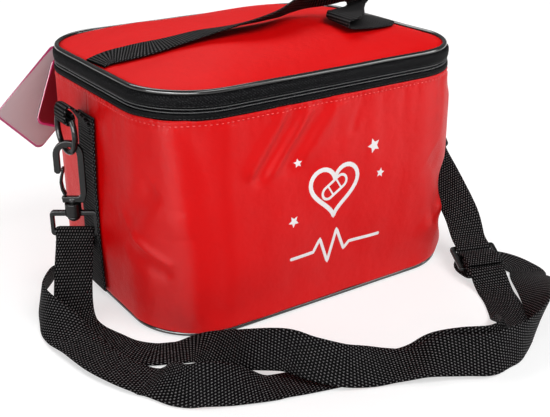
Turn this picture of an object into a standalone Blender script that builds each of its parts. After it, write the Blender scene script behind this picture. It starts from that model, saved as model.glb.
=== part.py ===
"""Soft zipped toy case with a domed lid, a webbing handle and a clip-on shoulder strap.

Metres, +Z up. X runs along the case, the front faces -Y, and the origin is the middle of the
flat bottom. Every sub-part is one named object; moving pieces hang under empties on their axes.
"""
import math

import bmesh
import bpy
from mathutils import Matrix, Vector

# Case
CASE_LENGTH = 0.242
CASE_DEPTH = 0.188
CORNER_RADIUS = 0.046
WALL_TOP = 0.1425
SEAT_GAP = 0.0003
SHELL_THICKNESS = 0.0010
FOAM_THICKNESS = 0.0030
LINING_THICKNESS = 0.0008
BOARD_THICKNESS = 0.0025
LOWER_PIPING_RADIUS = 0.0016
UPPER_PIPING_RADIUS = 0.00175
PIPING_INSET = 0.0006
SIDE_SEAM_GAP = 0.0006
CORNER_STEPS = 8

# Zip
TAPE_HEIGHT = 0.0032
TAPE_THICKNESS = 0.0012
COIL_ROW_HEIGHT = 0.0011
COIL_THICKNESS = 0.0014
COIL_GAP = 0.0009
ZIP_END_ANGLE = math.radians(80)
COIL_END_ANGLE = math.radians(79)
COIL_SPLIT_ANGLE = math.radians(58.5)
STOP_LENGTH = 0.0024

# Lid
BAND_HEIGHT = 0.00625
DOME_RISE = 0.0155
DOME_RING_SHARES = (1.0, 0.9, 0.76, 0.58, 0.36, 0.16)
HINGE_STANDOFF = 0.0010

# Webbing, shared by the handle, the strap and the side bands
WEBBING_WIDTH = 0.025
WEBBING_THICKNESS = 0.0015
LAYER_GAP = 0.0004
SIDE_BAND_SHIFT = 0.005

# Ring and its tab
RING_RADIUS = 0.014
RING_WIRE = 0.0020
RING_BAR_RISE = 0.0085
RING_STANDOFF = 0.0162
RING_CENTRE_HEIGHT = 0.118
TAB_WIDTH = 0.017
END_BAND_RISE = 0.0085

# Swivel snap hook, measured down from the ring's centre
HOOK_THICKNESS = 0.0036
HOOK_ARM = 0.0042
HOOK_EYE_RADIUS = 0.0057
HOOK_EYE_DROP = 0.0024
HOOK_NOSE_DROP = 0.0150
HOOK_SEAT_DROP = 0.0310
HOOK_FOOT_DROP = 0.0352
GATE_THICKNESS = 0.0017
GATE_WIDTH = 0.0048
COLLAR_RADIUS = 0.0054
POST_RADIUS = 0.0026
POST_HEAD_RADIUS = 0.0042
POST_HEAD_HEIGHT = 0.0030
FRAME_TOP_DROP = 0.0412
FRAME_BRIDGE = 0.0034
FRAME_ARM = 0.0027
FRAME_DEPTH = 0.0036
FRAME_BAR_DROP = 0.0710
FRAME_BAR_RADIUS = 0.0018
FRAME_SIDE_GAP = 0.0005

# Tri-glide buckle
GLIDE_BAR = 0.0034
GLIDE_SLOT = 0.0072
GLIDE_THICKNESS = 0.0026
GLIDE_PLACE_SHARES = (0.926, -1.277)
GLIDE_LIFT = 0.0110

# Side to side differences at rest
LEFT_TURN = math.radians(-34)
RIGHT_FRAME_TURN = math.radians(-31)
RIGHT_SWING = math.radians(38)

# Zip slider, pull and hang cards
SLIDER_ANGLE = math.radians(70)
SLIDER_LENGTH = 0.0105
SLIDER_HEIGHT = 0.0056
SLIDER_PLATE = 0.0011
SLIDER_WEB = 0.0004
SLIDER_CLEARANCE = 0.0005
PULL_LENGTH = 0.0095
PULL_WIDTH = 0.0050
PULL_WIRE = 0.00055
PULL_LEAN = math.radians(14)
BAIL_RADIUS = 0.0023
BAIL_WIRE = 0.0005
CARD_THICKNESS = 0.0005
CARD_CORNER = 0.0050
CARD_HOLE_INSET = 0.0036
CARD_HOLE_RADIUS = 0.0018
LARGE_CARD = (0.044, 0.066)
SMALL_CARD = (0.034, 0.050)
LARGE_CARD_TILT = math.radians(47)
SMALL_CARD_TILT = math.radians(21)
LARGE_CARD_SHARE = 0.358
SMALL_CARD_SHARE = 0.004
CORD_RADIUS = 0.0036
LOOP_WIRE = 0.0005

# Routes as shares: of the half length, the half depth and the webbing's width, then the facing
HOOK_SIDE_SHARES = (
    (1.099, -0.660, 1.610, 0.80, -0.46, 0.38),
    (1.041, -0.936, 0.990, 0.82, -0.46, 0.34),
)

FREE_LOOP_SHARES = (
    (0.887, -1.383, 0.034, 0.92, -0.40, 0.00),
    (0.909, -1.269, 0.000, 0.90, -0.44, 0.00),
    (0.951, -1.205, 0.000, 0.57, -0.82, 0.00),
    (1.013, -1.177, 0.000, 0.09, -1.00, 0.00),
    (1.079, -1.191, 0.000, -0.42, -0.91, 0.00),
    (1.130, -1.246, 0.000, -0.82, -0.57, 0.00),
    (1.154, -1.326, 0.000, -1.00, -0.09, 0.00),
    (1.161, -1.426, 0.000, -1.00, 0.05, 0.00),
    (1.145, -1.537, 0.024, -0.95, 0.30, 0.00),
    (1.062, -1.644, 0.096, -0.86, 0.50, -0.10),
    (0.942, -1.840, 0.104, -0.70, 0.50, -0.50),
    (0.798, -2.032, 0.104, -0.50, 0.35, -0.79),
    (0.645, -2.213, 0.040, -0.30, 0.10, -0.95),
)

FRONT_RUN_SHARES = (
    (0.430, -2.330, 0.044, -0.46, -0.20, -0.87),
    (0.314, -2.351, 0.068, -0.46, -0.20, -0.87),
    (0.198, -2.340, 0.062, -0.43, -0.27, -0.86),
    (0.099, -2.245, 0.085, -0.55, -0.41, -0.72),
    (-0.017, -2.149, 0.098, -0.59, -0.52, -0.61),
    (-0.116, -2.064, 0.096, -0.77, -0.60, -0.24),
    (-0.231, -2.000, 0.096, -0.71, -0.64, -0.29),
    (-0.364, -1.957, 0.096, -0.72, -0.45, -0.53),
    (-0.463, -1.904, 0.092, -0.44, -0.49, -0.75),
    (-0.570, -1.777, 0.167, -0.35, -0.39, -0.85),
    (-0.636, -1.628, 0.206, -0.37, -0.37, -0.85),
    (-0.752, -1.426, 0.107, -0.47, -0.54, -0.69),
    (-0.810, -1.255, 0.005, -0.55, -0.71, -0.44),
    (-0.884, -1.117, 0.000, -0.55, -0.80, -0.23),
    (-0.992, -1.043, 0.000, -0.50, -0.87, 0.00),
    (-1.099, -0.968, 0.000, -0.66, -0.75, 0.00),
    (-1.190, -0.830, 0.000, -0.85, -0.53, 0.00),
    (-1.240, -0.660, 0.000, -0.94, -0.34, 0.00),
    (-1.281, -0.500, 0.000, -1.00, -0.00, 0.00),
    (-1.298, -0.383, 0.098, -0.93, 0.36, 0.00),
    (-1.273, -0.255, 0.438, -0.88, 0.48, 0.00),
    (-1.207, -0.096, 1.158, -0.83, 0.56, 0.00),
)

BACK_RUN_SHARES = (
    (-1.126, 0.099, 1.478, -0.83, 0.56, 0.00),
    (-1.165, 0.112, 0.893, -0.73, 0.51, -0.46),
    (-1.240, 0.101, 0.436, -0.50, 0.35, -0.79),
    (-1.331, 0.043, 0.195, -0.35, 0.15, -0.92),
    (-1.401, -0.085, 0.016, -0.20, 0.00, -0.98),
    (-1.430, -0.266, 0.000, -0.35, -0.10, -0.93),
    (-1.413, -0.447, 0.020, -0.78, -0.10, -0.62),
    (-1.380, -0.617, 0.104, -0.98, -0.10, -0.15),
    (-1.339, -0.915, 0.092, -0.97, 0.25, 0.00),
    (-1.273, -1.149, 0.048, -0.71, -0.71, -0.05),
    (-1.215, -1.287, 0.016, -0.42, -0.90, -0.10),
    (-1.165, -1.468, 0.002, -0.40, -0.78, -0.48),
    (-1.074, -1.606, 0.024, -0.24, -0.49, -0.84),
    (-0.975, -1.644, 0.000, -0.33, -0.66, -0.67),
    (-0.876, -1.676, 0.000, -0.42, -0.83, -0.36),
    (-0.777, -1.713, 0.000, -0.43, -0.90, -0.02),
    (-0.661, -1.755, 0.000, -0.43, -0.90, 0.00),
    (-0.512, -1.809, 0.000, -0.45, -0.89, -0.03),
    (-0.331, -1.872, 0.000, -0.62, -0.78, -0.10),
    (-0.198, -1.926, 0.000, -0.73, -0.68, -0.10),
    (-0.083, -1.989, 0.000, -0.64, -0.74, -0.21),
    (0.017, -2.069, 0.000, -0.47, -0.62, -0.62),
    (0.132, -2.170, 0.000, -0.36, -0.36, -0.86),
    (0.248, -2.255, 0.000, -0.10, -0.20, -0.97),
    (0.364, -2.245, 0.000, 0.00, -0.30, -0.95),
    (0.463, -2.160, 0.000, 0.26, -0.63, -0.73),
    (0.545, -2.069, 0.000, 0.62, -0.72, -0.31),
    (0.645, -1.957, 0.000, 0.81, -0.59, -0.05),
    (0.744, -1.787, 0.000, 0.86, -0.50, 0.00),
    (0.802, -1.649, 0.000, 0.87, -0.49, 0.00),
    (0.835, -1.553, 0.127, 0.87, -0.49, 0.03),
)

GLIDE_PASS_SHARES = (
    (-0.800, 0.116),
    (-0.560, 0.100),
    (-0.424, 0.098),
    (-0.320, 0.084),
    (-0.268, 0.020),
    (-0.236, -0.052),
    (-0.172, -0.140),
    (-0.076, -0.208),
    (0.076, -0.208),
    (0.172, -0.140),
    (0.236, -0.052),
    (0.268, 0.020),
    (0.320, 0.084),
    (0.424, 0.098),
    (0.520, 0.084),
    (0.632, 0.016),
    (0.672, -0.104),
    (0.616, -0.196),
)

GLIDE_LOOP_SHARES = (
    (0.840, 0.176),
    (0.600, 0.180),
    (0.424, 0.178),
    (0.296, 0.172),
    (0.208, 0.132),
    (0.156, 0.060),
    (0.136, -0.008),
    (0.096, -0.096),
    (0.000, -0.136),
    (-0.096, -0.096),
    (-0.136, 0.000),
    (-0.096, 0.096),
    (0.000, 0.140),
    (0.104, 0.200),
    (0.240, 0.256),
    (0.424, 0.260),
    (0.680, 0.264),
)

HANDLE_SHARES = (
    (-0.959, 0.000, 0.086, 0.00, -1.00, 0.00),
    (-0.893, 0.000, 0.174, 0.00, -1.00, 0.00),
    (-0.826, -0.043, 0.262, 0.00, -1.00, 0.00),
    (-0.694, -0.149, 0.430, 0.00, -1.00, 0.00),
    (-0.554, -0.191, 0.558, 0.00, -1.00, 0.07),
    (-0.421, -0.213, 0.662, 0.00, -0.99, 0.12),
    (-0.281, -0.245, 0.750, 0.00, -0.97, 0.24),
    (-0.132, -0.266, 0.838, 0.00, -0.94, 0.34),
    (0.000, -0.245, 0.902, 0.00, -0.90, 0.44),
    (0.132, -0.191, 0.982, 0.00, -0.81, 0.59),
    (0.248, -0.117, 1.030, 0.00, -0.72, 0.69),
    (0.364, -0.096, 1.098, 0.00, -0.67, 0.74),
    (0.471, -0.138, 1.126, 0.00, -0.74, 0.67),
    (0.545, -0.186, 1.118, -0.10, -0.85, 0.50),
    (0.591, -0.213, 1.070, 0.00, -0.93, 0.36),
    (0.618, -0.223, 0.990, 0.00, -0.93, 0.36),
    (0.620, -0.229, 0.910, 0.00, -0.94, 0.34),
    (0.599, -0.234, 0.850, 0.00, -0.95, 0.30),
    (0.554, -0.245, 0.826, 0.10, -0.95, 0.25),
    (0.496, -0.298, 0.822, 0.50, -0.84, 0.15),
    (0.455, -0.362, 0.818, 0.60, -0.79, 0.05),
    (0.421, -0.415, 0.838, 0.45, -0.89, -0.02),
    (0.384, -0.447, 0.838, 0.10, -0.98, -0.12),
    (0.352, -0.450, 0.802, 0.00, -0.98, -0.15),
    (0.339, -0.452, 0.718, 0.00, -0.98, -0.15),
    (0.350, -0.454, 0.638, 0.00, -0.98, -0.16),
    (0.397, -0.457, 0.622, 0.00, -0.98, -0.17),
    (0.471, -0.468, 0.594, 0.00, -0.98, -0.17),
    (0.554, -0.447, 0.546, 0.00, -0.99, -0.12),
    (0.653, -0.383, 0.462, 0.00, -1.00, -0.05),
    (0.744, -0.266, 0.366, 0.00, -1.00, 0.00),
    (0.818, -0.128, 0.278, 0.00, -1.00, 0.00),
    (0.893, -0.043, 0.182, 0.00, -1.00, 0.00),
    (0.959, -0.043, 0.090, 0.00, -1.00, 0.00),
)
TAB_SHARES = (
    (-0.824, -0.643),
    (-0.824, -0.071),
    (-0.750, 0.250),
    (-0.586, 0.607),
    (-0.346, 0.957),
    (-0.099, 1.186),
    (0.074, 1.186),
    (0.185, 0.957),
    (0.188, 0.607),
    (0.133, 0.453),
    (0.000, 0.389),
    (-0.133, 0.453),
    (-0.188, 0.607),
    (-0.167, 0.800),
    (-0.068, 0.971),
)
GATE_SHARES = (
    (-0.700, -0.987),
    (-1.000, -0.839),
    (-1.100, -0.677),
    (-0.980, -0.548),
    (-0.790, -0.445),
    (-0.750, -0.348),
)

# How much further than its target each cutter reaches
OVERRUN = 0.002

HALF_LENGTH = CASE_LENGTH / 2
HALF_DEPTH = CASE_DEPTH / 2
CORNER_X = HALF_LENGTH - CORNER_RADIUS
CORNER_Y = HALF_DEPTH - CORNER_RADIUS
TAPE_FOOT = WALL_TOP + SEAT_GAP
LOWER_COIL_FOOT = TAPE_FOOT + TAPE_HEIGHT + SEAT_GAP
COIL_MIDDLE = LOWER_COIL_FOOT + COIL_ROW_HEIGHT + COIL_GAP / 2
UPPER_COIL_FOOT = COIL_MIDDLE + COIL_GAP / 2
BAND_FOOT = UPPER_COIL_FOOT + COIL_ROW_HEIGHT + SEAT_GAP
BAND_TOP = BAND_FOOT + BAND_HEIGHT
LID_PIPING_HEIGHT = BAND_TOP + SEAT_GAP + UPPER_PIPING_RADIUS
LID_EDGE_INSET = PIPING_INSET + 2 * UPPER_PIPING_RADIUS + SEAT_GAP
LID_EDGE_HEIGHT = BAND_TOP + SEAT_GAP + SHELL_THICKNESS
FOOT_PIPING_HEIGHT = LOWER_PIPING_RADIUS + SEAT_GAP
WALL_FOOT = FOOT_PIPING_HEIGHT + LOWER_PIPING_RADIUS + SEAT_GAP
PANEL_INSET = PIPING_INSET + 2 * LOWER_PIPING_RADIUS + SEAT_GAP
BOARD_FOOT = SHELL_THICKNESS + SEAT_GAP
LINING_FOOT = BOARD_FOOT + BOARD_THICKNESS + SEAT_GAP
FOAM_INSET = SHELL_THICKNESS + SEAT_GAP
LINING_INSET = FOAM_INSET + FOAM_THICKNESS + SEAT_GAP
HALF_WEB = WEBBING_WIDTH / 2
HALF_LAYER = WEBBING_THICKNESS / 2
RING_X = HALF_LENGTH + RING_STANDOFF
HINGE_AXIS = Vector((0, HALF_DEPTH + HINGE_STANDOFF, COIL_MIDDLE))
STRAP_AXIS = Vector((0, SIDE_BAND_SHIFT, RING_CENTRE_HEIGHT))
GLIDE_PLACE = Vector((GLIDE_PLACE_SHARES[0] * HALF_LENGTH, GLIDE_PLACE_SHARES[1] * HALF_DEPTH, GLIDE_LIFT))
GLIDE_ACROSS = Vector((0.89, -0.42, 0.06)).normalized()
GLIDE_UP = Vector((-0.20, -0.16, 0.96))
GLIDE_UP = (GLIDE_UP - GLIDE_ACROSS * GLIDE_UP.dot(GLIDE_ACROSS)).normalized()
GLIDE_RUN = GLIDE_ACROSS.cross(GLIDE_UP)

COLOURS = {
    "red_nylon": ((0.72, 0.015, 0.02), 0.38, 0.0),
    "black_webbing": ((0.016, 0.016, 0.018), 0.72, 0.0),
    "black_tape": ((0.02, 0.02, 0.022), 0.6, 0.0),
    "black_piping": ((0.014, 0.014, 0.015), 0.25, 0.0),
    "black_plastic": ((0.018, 0.018, 0.019), 0.28, 0.0),
    "zip_coil": ((0.03, 0.03, 0.032), 0.35, 0.0),
    "zip_metal": ((0.05, 0.05, 0.055), 0.3, 0.9),
    "foam": ((0.86, 0.86, 0.84), 0.9, 0.0),
    "lining": ((0.62, 0.63, 0.65), 0.5, 0.0),
    "base_board": ((0.45, 0.42, 0.38), 0.85, 0.0),
    "card_pale": ((0.78, 0.74, 0.78), 0.3, 0.0),
    "card_dark": ((0.32, 0.02, 0.07), 0.25, 0.0),
    "tag_loop": ((0.8, 0.8, 0.8), 0.4, 0.0),
}


def clear_scene():
    for item in list(bpy.data.objects):
        bpy.data.objects.remove(item, do_unlink=True)


def new_collection(name):
    collection = bpy.data.collections.new(name)
    bpy.context.scene.collection.children.link(collection)
    return collection


def material(slot):
    found = bpy.data.materials.get(slot)
    if found:
        return found
    colour, roughness, metallic = COLOURS[slot]
    found = bpy.data.materials.new(slot)
    found.use_nodes = True
    shader = found.node_tree.nodes["Principled BSDF"]
    shader.inputs["Base Color"].default_value = (*colour, 1)
    shader.inputs["Roughness"].default_value = roughness
    shader.inputs["Metallic"].default_value = metallic
    return found


def add_object(name, data, slot, parent=None, smooth=True):
    item = bpy.data.objects.new(name, data)
    PARTS.objects.link(item)
    data.materials.append(material(slot))
    if smooth and isinstance(data, bpy.types.Mesh):
        data.shade_smooth()
        data.set_sharp_from_angle(angle=math.radians(35))
    if parent:
        item.parent = parent
    return item


def add_empty(name, place, parent=None):
    """An axis marker whose children are modelled about its own origin."""
    empty = bpy.data.objects.new(name, None)
    PARTS.objects.link(empty)
    empty.parent = parent
    empty.location = place
    return empty


def mesh_from(bm, name):
    bmesh.ops.recalc_face_normals(bm, faces=bm.faces)
    mesh = bpy.data.meshes.new(name)
    bm.to_mesh(mesh)
    bm.free()
    return mesh


def solidify(item, thickness):
    """Thickens an open surface away from the side that its faces point to."""
    modifier = item.modifiers.new("Thickness", "SOLIDIFY")
    modifier.thickness = thickness
    modifier.offset = -1
    modifier.use_even_offset = True
    return modifier


def bevel(item, width, segments=2, angle=40):
    modifier = item.modifiers.new("Edges", "BEVEL")
    modifier.width = width
    modifier.segments = segments
    modifier.limit_method = "ANGLE"
    modifier.angle_limit = math.radians(angle)
    return modifier


def boolean(item, other, operation):
    modifier = item.modifiers.new(operation.title(), "BOOLEAN")
    modifier.operation = operation
    modifier.object = other
    other.hide_render = True
    other.display_type = "WIRE"
    return modifier


def move_to_cutters(item):
    PARTS.objects.unlink(item)
    CUTTERS.objects.link(item)


def corner_point(side_x, side_y, angle, inset):
    """A point on a rounded corner; angle runs from the X direction (0) to the Y direction."""
    radius = CORNER_RADIUS - inset
    return Vector((side_x * (CORNER_X + radius * math.cos(angle)),
                   side_y * (CORNER_Y + radius * math.sin(angle)), 0))


def outline(inset=0):
    """The case's closed plan, anticlockwise from the back-left end."""
    points = []
    quarter = math.pi / 2
    for side_x, side_y, backwards in ((-1, 1, True), (-1, -1, False), (1, -1, True), (1, 1, False)):
        for step in range(CORNER_STEPS + 1):
            share = step / CORNER_STEPS
            angle = quarter * (1 - share if backwards else share)
            points.append(corner_point(side_x, side_y, angle, inset))
    return points


def open_run(inset, left_angle, right_angle):
    """The plan from an angle on the back-left corner, round the front, to one on the back-right."""
    left = [corner_point(-1, 1, left_angle * (1 - step / CORNER_STEPS), inset)
            for step in range(CORNER_STEPS + 1)]
    right = [corner_point(1, 1, right_angle * step / CORNER_STEPS, inset)
             for step in range(CORNER_STEPS + 1)]
    return left + outline(inset)[CORNER_STEPS + 1:3 * (CORNER_STEPS + 1)] + right


def half_run(side_y, inset):
    """Half of the plan, cut in the middle of both ends, for the front or the back wall."""
    cut = SIDE_SEAM_GAP / 2
    points = [point for point in outline(inset) if point.y * side_y > 0]
    if side_y > 0:
        points = points[CORNER_STEPS + 1:] + points[:CORNER_STEPS + 1]
    middle = SIDE_BAND_SHIFT + side_y * cut
    first = Vector((points[0].x, middle, 0))
    last = Vector((points[-1].x, middle, 0))
    return [first] + points + [last]


def wall_strip(name, points, foot, top, thickness, slot, closed, parent=None):
    """An upright strip of sheet along a run of points, thickened inwards."""
    bm = bmesh.new()
    low = [bm.verts.new((point.x, point.y, foot)) for point in points]
    high = [bm.verts.new((point.x, point.y, top)) for point in points]
    count = len(points)
    for index in range(count if closed else count - 1):
        after = (index + 1) % count
        bm.faces.new((low[index], low[after], high[after], high[index]))
    mesh = bpy.data.meshes.new(name)
    bm.to_mesh(mesh)
    bm.free()
    item = add_object(name, mesh, slot, parent)
    solidify(item, thickness)
    return item


def flat_plate(name, points, foot, thickness, slot, parent=None):
    bm = bmesh.new()
    bm.faces.new([bm.verts.new((point.x, point.y, foot + thickness)) for point in points])
    mesh = mesh_from(bm, name)
    if mesh.polygons[0].normal.z < 0:
        mesh.flip_normals()
    item = add_object(name, mesh, slot, parent)
    solidify(item, thickness)
    return item


def round_tube(name, points, radius, slot, closed=False, parent=None, sides_step=2):
    """A tube of even radius along a polyline, with flat ends where it is open."""
    curve = bpy.data.curves.new(name, "CURVE")
    curve.dimensions = "3D"
    curve.bevel_depth = radius
    curve.bevel_resolution = sides_step
    curve.use_fill_caps = not closed
    spline = curve.splines.new("POLY")
    spline.points.add(len(points) - 1)
    for target, point in zip(spline.points, points):
        target.co = (*point, 1)
    spline.use_cyclic_u = closed
    return add_object(name, curve, slot, parent)


def as_mesh(item):
    """Swaps a curve for the mesh that it draws, so that a Boolean can take it."""
    bpy.context.view_layer.update()
    graph = bpy.context.evaluated_depsgraph_get()
    mesh = bpy.data.meshes.new_from_object(item.evaluated_get(graph))
    name, empty = item.name, item.parent
    bpy.data.objects.remove(item, do_unlink=True)
    solid = bpy.data.objects.new(name, mesh)
    PARTS.objects.link(solid)
    solid.parent = empty
    return solid


def lathe(name, profile, slot, parent=None, steps=20):
    """A solid turned about its own Z axis from (radius, height) pairs, top to bottom."""
    mesh = bpy.data.meshes.new(name)
    bm = bmesh.new()
    corners = [bm.verts.new((radius, 0, height)) for radius, height in profile]
    for first, second in zip(corners, corners[1:]):
        bm.edges.new((first, second))
    bm.to_mesh(mesh)
    bm.free()
    item = add_object(name, mesh, slot, parent)
    turn = item.modifiers.new("Turn", "SCREW")
    turn.steps = steps
    turn.render_steps = steps
    turn.use_merge_vertices = True
    turn.merge_threshold = 0.00001
    turn.use_smooth_shade = True
    return item


def plate_from_outline(name, points, thickness, slot, parent=None, holes=()):
    """A flat outline in X and Z, as thick as named along Y and centred on it."""
    curve = bpy.data.curves.new(name, "CURVE")
    curve.dimensions = "2D"
    curve.fill_mode = "BOTH"
    curve.extrude = thickness / 2
    for ring in (points, *holes):
        spline = curve.splines.new("POLY")
        spline.points.add(len(ring) - 1)
        for target, (x, z) in zip(spline.points, ring):
            target.co = (x, z, 0, 1)
        spline.use_cyclic_u = True
    shape = add_object(name + "_shape", curve, slot)
    bpy.context.view_layer.update()
    graph = bpy.context.evaluated_depsgraph_get()
    mesh = bpy.data.meshes.new_from_object(shape.evaluated_get(graph))
    bpy.data.objects.remove(shape, do_unlink=True)
    mesh.name = name
    mesh.transform(Matrix.Rotation(math.radians(90), 4, "X"))
    bm = bmesh.new()
    bm.from_mesh(mesh)
    bmesh.ops.remove_doubles(bm, verts=bm.verts, dist=0.000001)
    bmesh.ops.recalc_face_normals(bm, faces=bm.faces)
    bm.to_mesh(mesh)
    bm.free()
    mesh.materials.clear()
    return add_object(name, mesh, slot, parent)


def arc(centre_x, centre_z, radius, first, last, steps):
    """Points of an arc in a flat outline; the angles are in degrees from +X towards +Z."""
    turns = [math.radians(first + (last - first) * step / steps) for step in range(steps + 1)]
    return [(centre_x + radius * math.cos(turn), centre_z + radius * math.sin(turn)) for turn in turns]


def rounded_rectangle(width, height, radius, steps=4):
    half_x = width / 2 - radius
    half_z = height / 2 - radius
    return (arc(half_x, half_z, radius, 0, 90, steps) + arc(-half_x, half_z, radius, 90, 180, steps)
            + arc(-half_x, -half_z, radius, 180, 270, steps) + arc(half_x, -half_z, radius, 270, 360, steps))


def spline_value(rows, position):
    """Catmull-Rom value of a list of vectors at a position counted in rows."""
    index = min(int(position), len(rows) - 2)
    share = position - index
    before = rows[max(index - 1, 0)]
    start = rows[index]
    end = rows[index + 1]
    after = rows[min(index + 2, len(rows) - 1)]
    return 0.5 * (2 * start + (end - before) * share
                  + (2 * before - 5 * start + 4 * end - after) * share ** 2
                  + (3 * start - before - 3 * end + after) * share ** 3)


def sample_route(stations, step):
    """Evenly spaced points and facings along a smooth curve through the stations."""
    places = [place for place, _ in stations]
    facings = [facing for _, facing in stations]
    samples = []
    for index in range(len(stations) - 1):
        length = (places[index + 1] - places[index]).length
        count = max(1, round(length / step))
        samples += [index + part / count for part in range(count)]
    samples.append(len(stations) - 1)
    return [(spline_value(places, at), spline_value(facings, at)) for at in samples]


def ribbon_frames(samples):
    """Each sample's centre, width direction and face direction, square to the run."""
    frames = []
    for index, (place, facing) in enumerate(samples):
        ahead = samples[min(index + 1, len(samples) - 1)][0]
        behind = samples[max(index - 1, 0)][0]
        run = (ahead - behind).normalized()
        across = (facing - run * facing.dot(run)).normalized()
        frames.append((place, across, across.cross(run)))
    return frames


def keep_above(place, across, face, floor):
    """Lifts a station of the band until its lowest corner is on the floor."""
    lowest = place.z - abs(across.z) * HALF_WEB - abs(face.z) * HALF_LAYER
    return place + Vector((0, 0, max(0, floor - lowest)))


def ribbon(name, stations, width, thickness, slot, step, parent=None, floor=0):
    """Flat webbing: a loft of its thin section along a route that bends and twists."""
    bm = bmesh.new()
    sections = []
    for place, across, face in ribbon_frames(sample_route(stations, step)):
        if floor:
            place = keep_above(place, across, face, floor)
        section = [bm.verts.new(place + across * side * width / 2 + face * up * thickness / 2)
                   for side, up in ((-1, -1), (1, -1), (1, 1), (-1, 1))]
        sections.append(section)
    for first, second in zip(sections, sections[1:]):
        for corner, after in ((0, 1), (1, 2), (3, 2), (0, 3)):
            bm.faces.new((first[corner], first[after], second[corner]))
            bm.faces.new((first[after], second[after], second[corner]))
    bm.faces.new(sections[0])
    bm.faces.new(sections[-1])
    bmesh.ops.recalc_face_normals(bm, faces=bm.faces)
    if bm.calc_volume(signed=True) < 0:
        bmesh.ops.reverse_faces(bm, faces=bm.faces)
    mesh = bpy.data.meshes.new(name)
    bm.to_mesh(mesh)
    bm.free()
    return add_object(name, mesh, slot, parent)


def hang(item, empty):
    """Parents a sub-part drawn in the case's frame to an axis marker without moving it."""
    bpy.context.view_layer.update()
    item.parent = empty
    item.matrix_parent_inverse = empty.matrix_world.inverted()
    return item


def route(shares):
    """Floor stations: the height share is the lift above the lowest place the band can lie."""
    stations = []
    for x, y, lift, *facing in shares:
        width = Vector(facing).normalized()
        lean = math.sqrt(max(0, 1 - width.z ** 2))
        rest = HALF_WEB * abs(width.z) + HALF_LAYER * lean + SEAT_GAP
        stations.append((Vector((x * HALF_LENGTH, y * HALF_DEPTH, rest + lift * WEBBING_WIDTH)), width))
    return stations


def glide_stations(shares):
    """Stations given in the slide's own frame: along its run and up from its middle."""
    return [(GLIDE_PLACE + GLIDE_RUN * along * WEBBING_WIDTH + GLIDE_UP * up * WEBBING_WIDTH, GLIDE_ACROSS)
            for along, up in shares]


def turn_over(centre, across, down, front, reach, leg):
    """Stations of a band that comes up in front of a bar, passes over it and goes down behind."""
    stations = [(centre + front * reach + down * leg, across)]
    for step in range(5):
        angle = math.pi * step / 4
        stations.append((centre + front * reach * math.cos(angle) - down * reach * math.sin(angle), across))
    stations.append((centre - front * reach + down * leg, across))
    return stations


def build_shell(case):
    wall_strip("front_wall", half_run(-1, 0), WALL_FOOT, WALL_TOP, SHELL_THICKNESS, "red_nylon", False, case)
    wall_strip("back_wall", half_run(1, 0), WALL_FOOT, WALL_TOP, SHELL_THICKNESS, "red_nylon", False, case)
    flat_plate("bottom_panel", outline(PANEL_INSET), 0, SHELL_THICKNESS, "red_nylon", case)
    flat_plate("base_board", outline(PANEL_INSET), BOARD_FOOT, BOARD_THICKNESS, "base_board", case)
    foot_ring = [point + Vector((0, 0, FOOT_PIPING_HEIGHT))
                 for point in outline(PIPING_INSET + LOWER_PIPING_RADIUS)]
    round_tube("bottom_piping", foot_ring, LOWER_PIPING_RADIUS, "black_piping", True, case)
    wall_strip("wall_foam", outline(FOAM_INSET), LINING_FOOT, WALL_TOP, FOAM_THICKNESS, "foam", True, case)
    tub = flat_plate("inner_lining", outline(LINING_INSET), LINING_FOOT, LINING_THICKNESS, "lining", case)
    build_tub(tub)


def build_tub(tub):
    """Draws the lining as one open-topped surface: a floor and the wall standing on its rim."""
    bm = bmesh.new()
    ring = outline(LINING_INSET)
    low = [bm.verts.new((point.x, point.y, LINING_FOOT)) for point in ring]
    high = [bm.verts.new((point.x, point.y, WALL_TOP)) for point in ring]
    bm.faces.new(low)
    for index in range(len(ring)):
        after = (index + 1) % len(ring)
        bm.faces.new((low[index], high[index], high[after], low[after]))
    mesh = bpy.data.meshes.new("inner_lining")
    bmesh.ops.recalc_face_normals(bm, faces=bm.faces)
    bm.to_mesh(mesh)
    bm.free()
    mesh.materials.append(material("lining"))
    tub.data = mesh
    wall = max(mesh.polygons, key=lambda face: face.center.x)
    if wall.normal.x < 0:
        mesh.flip_normals()


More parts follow.
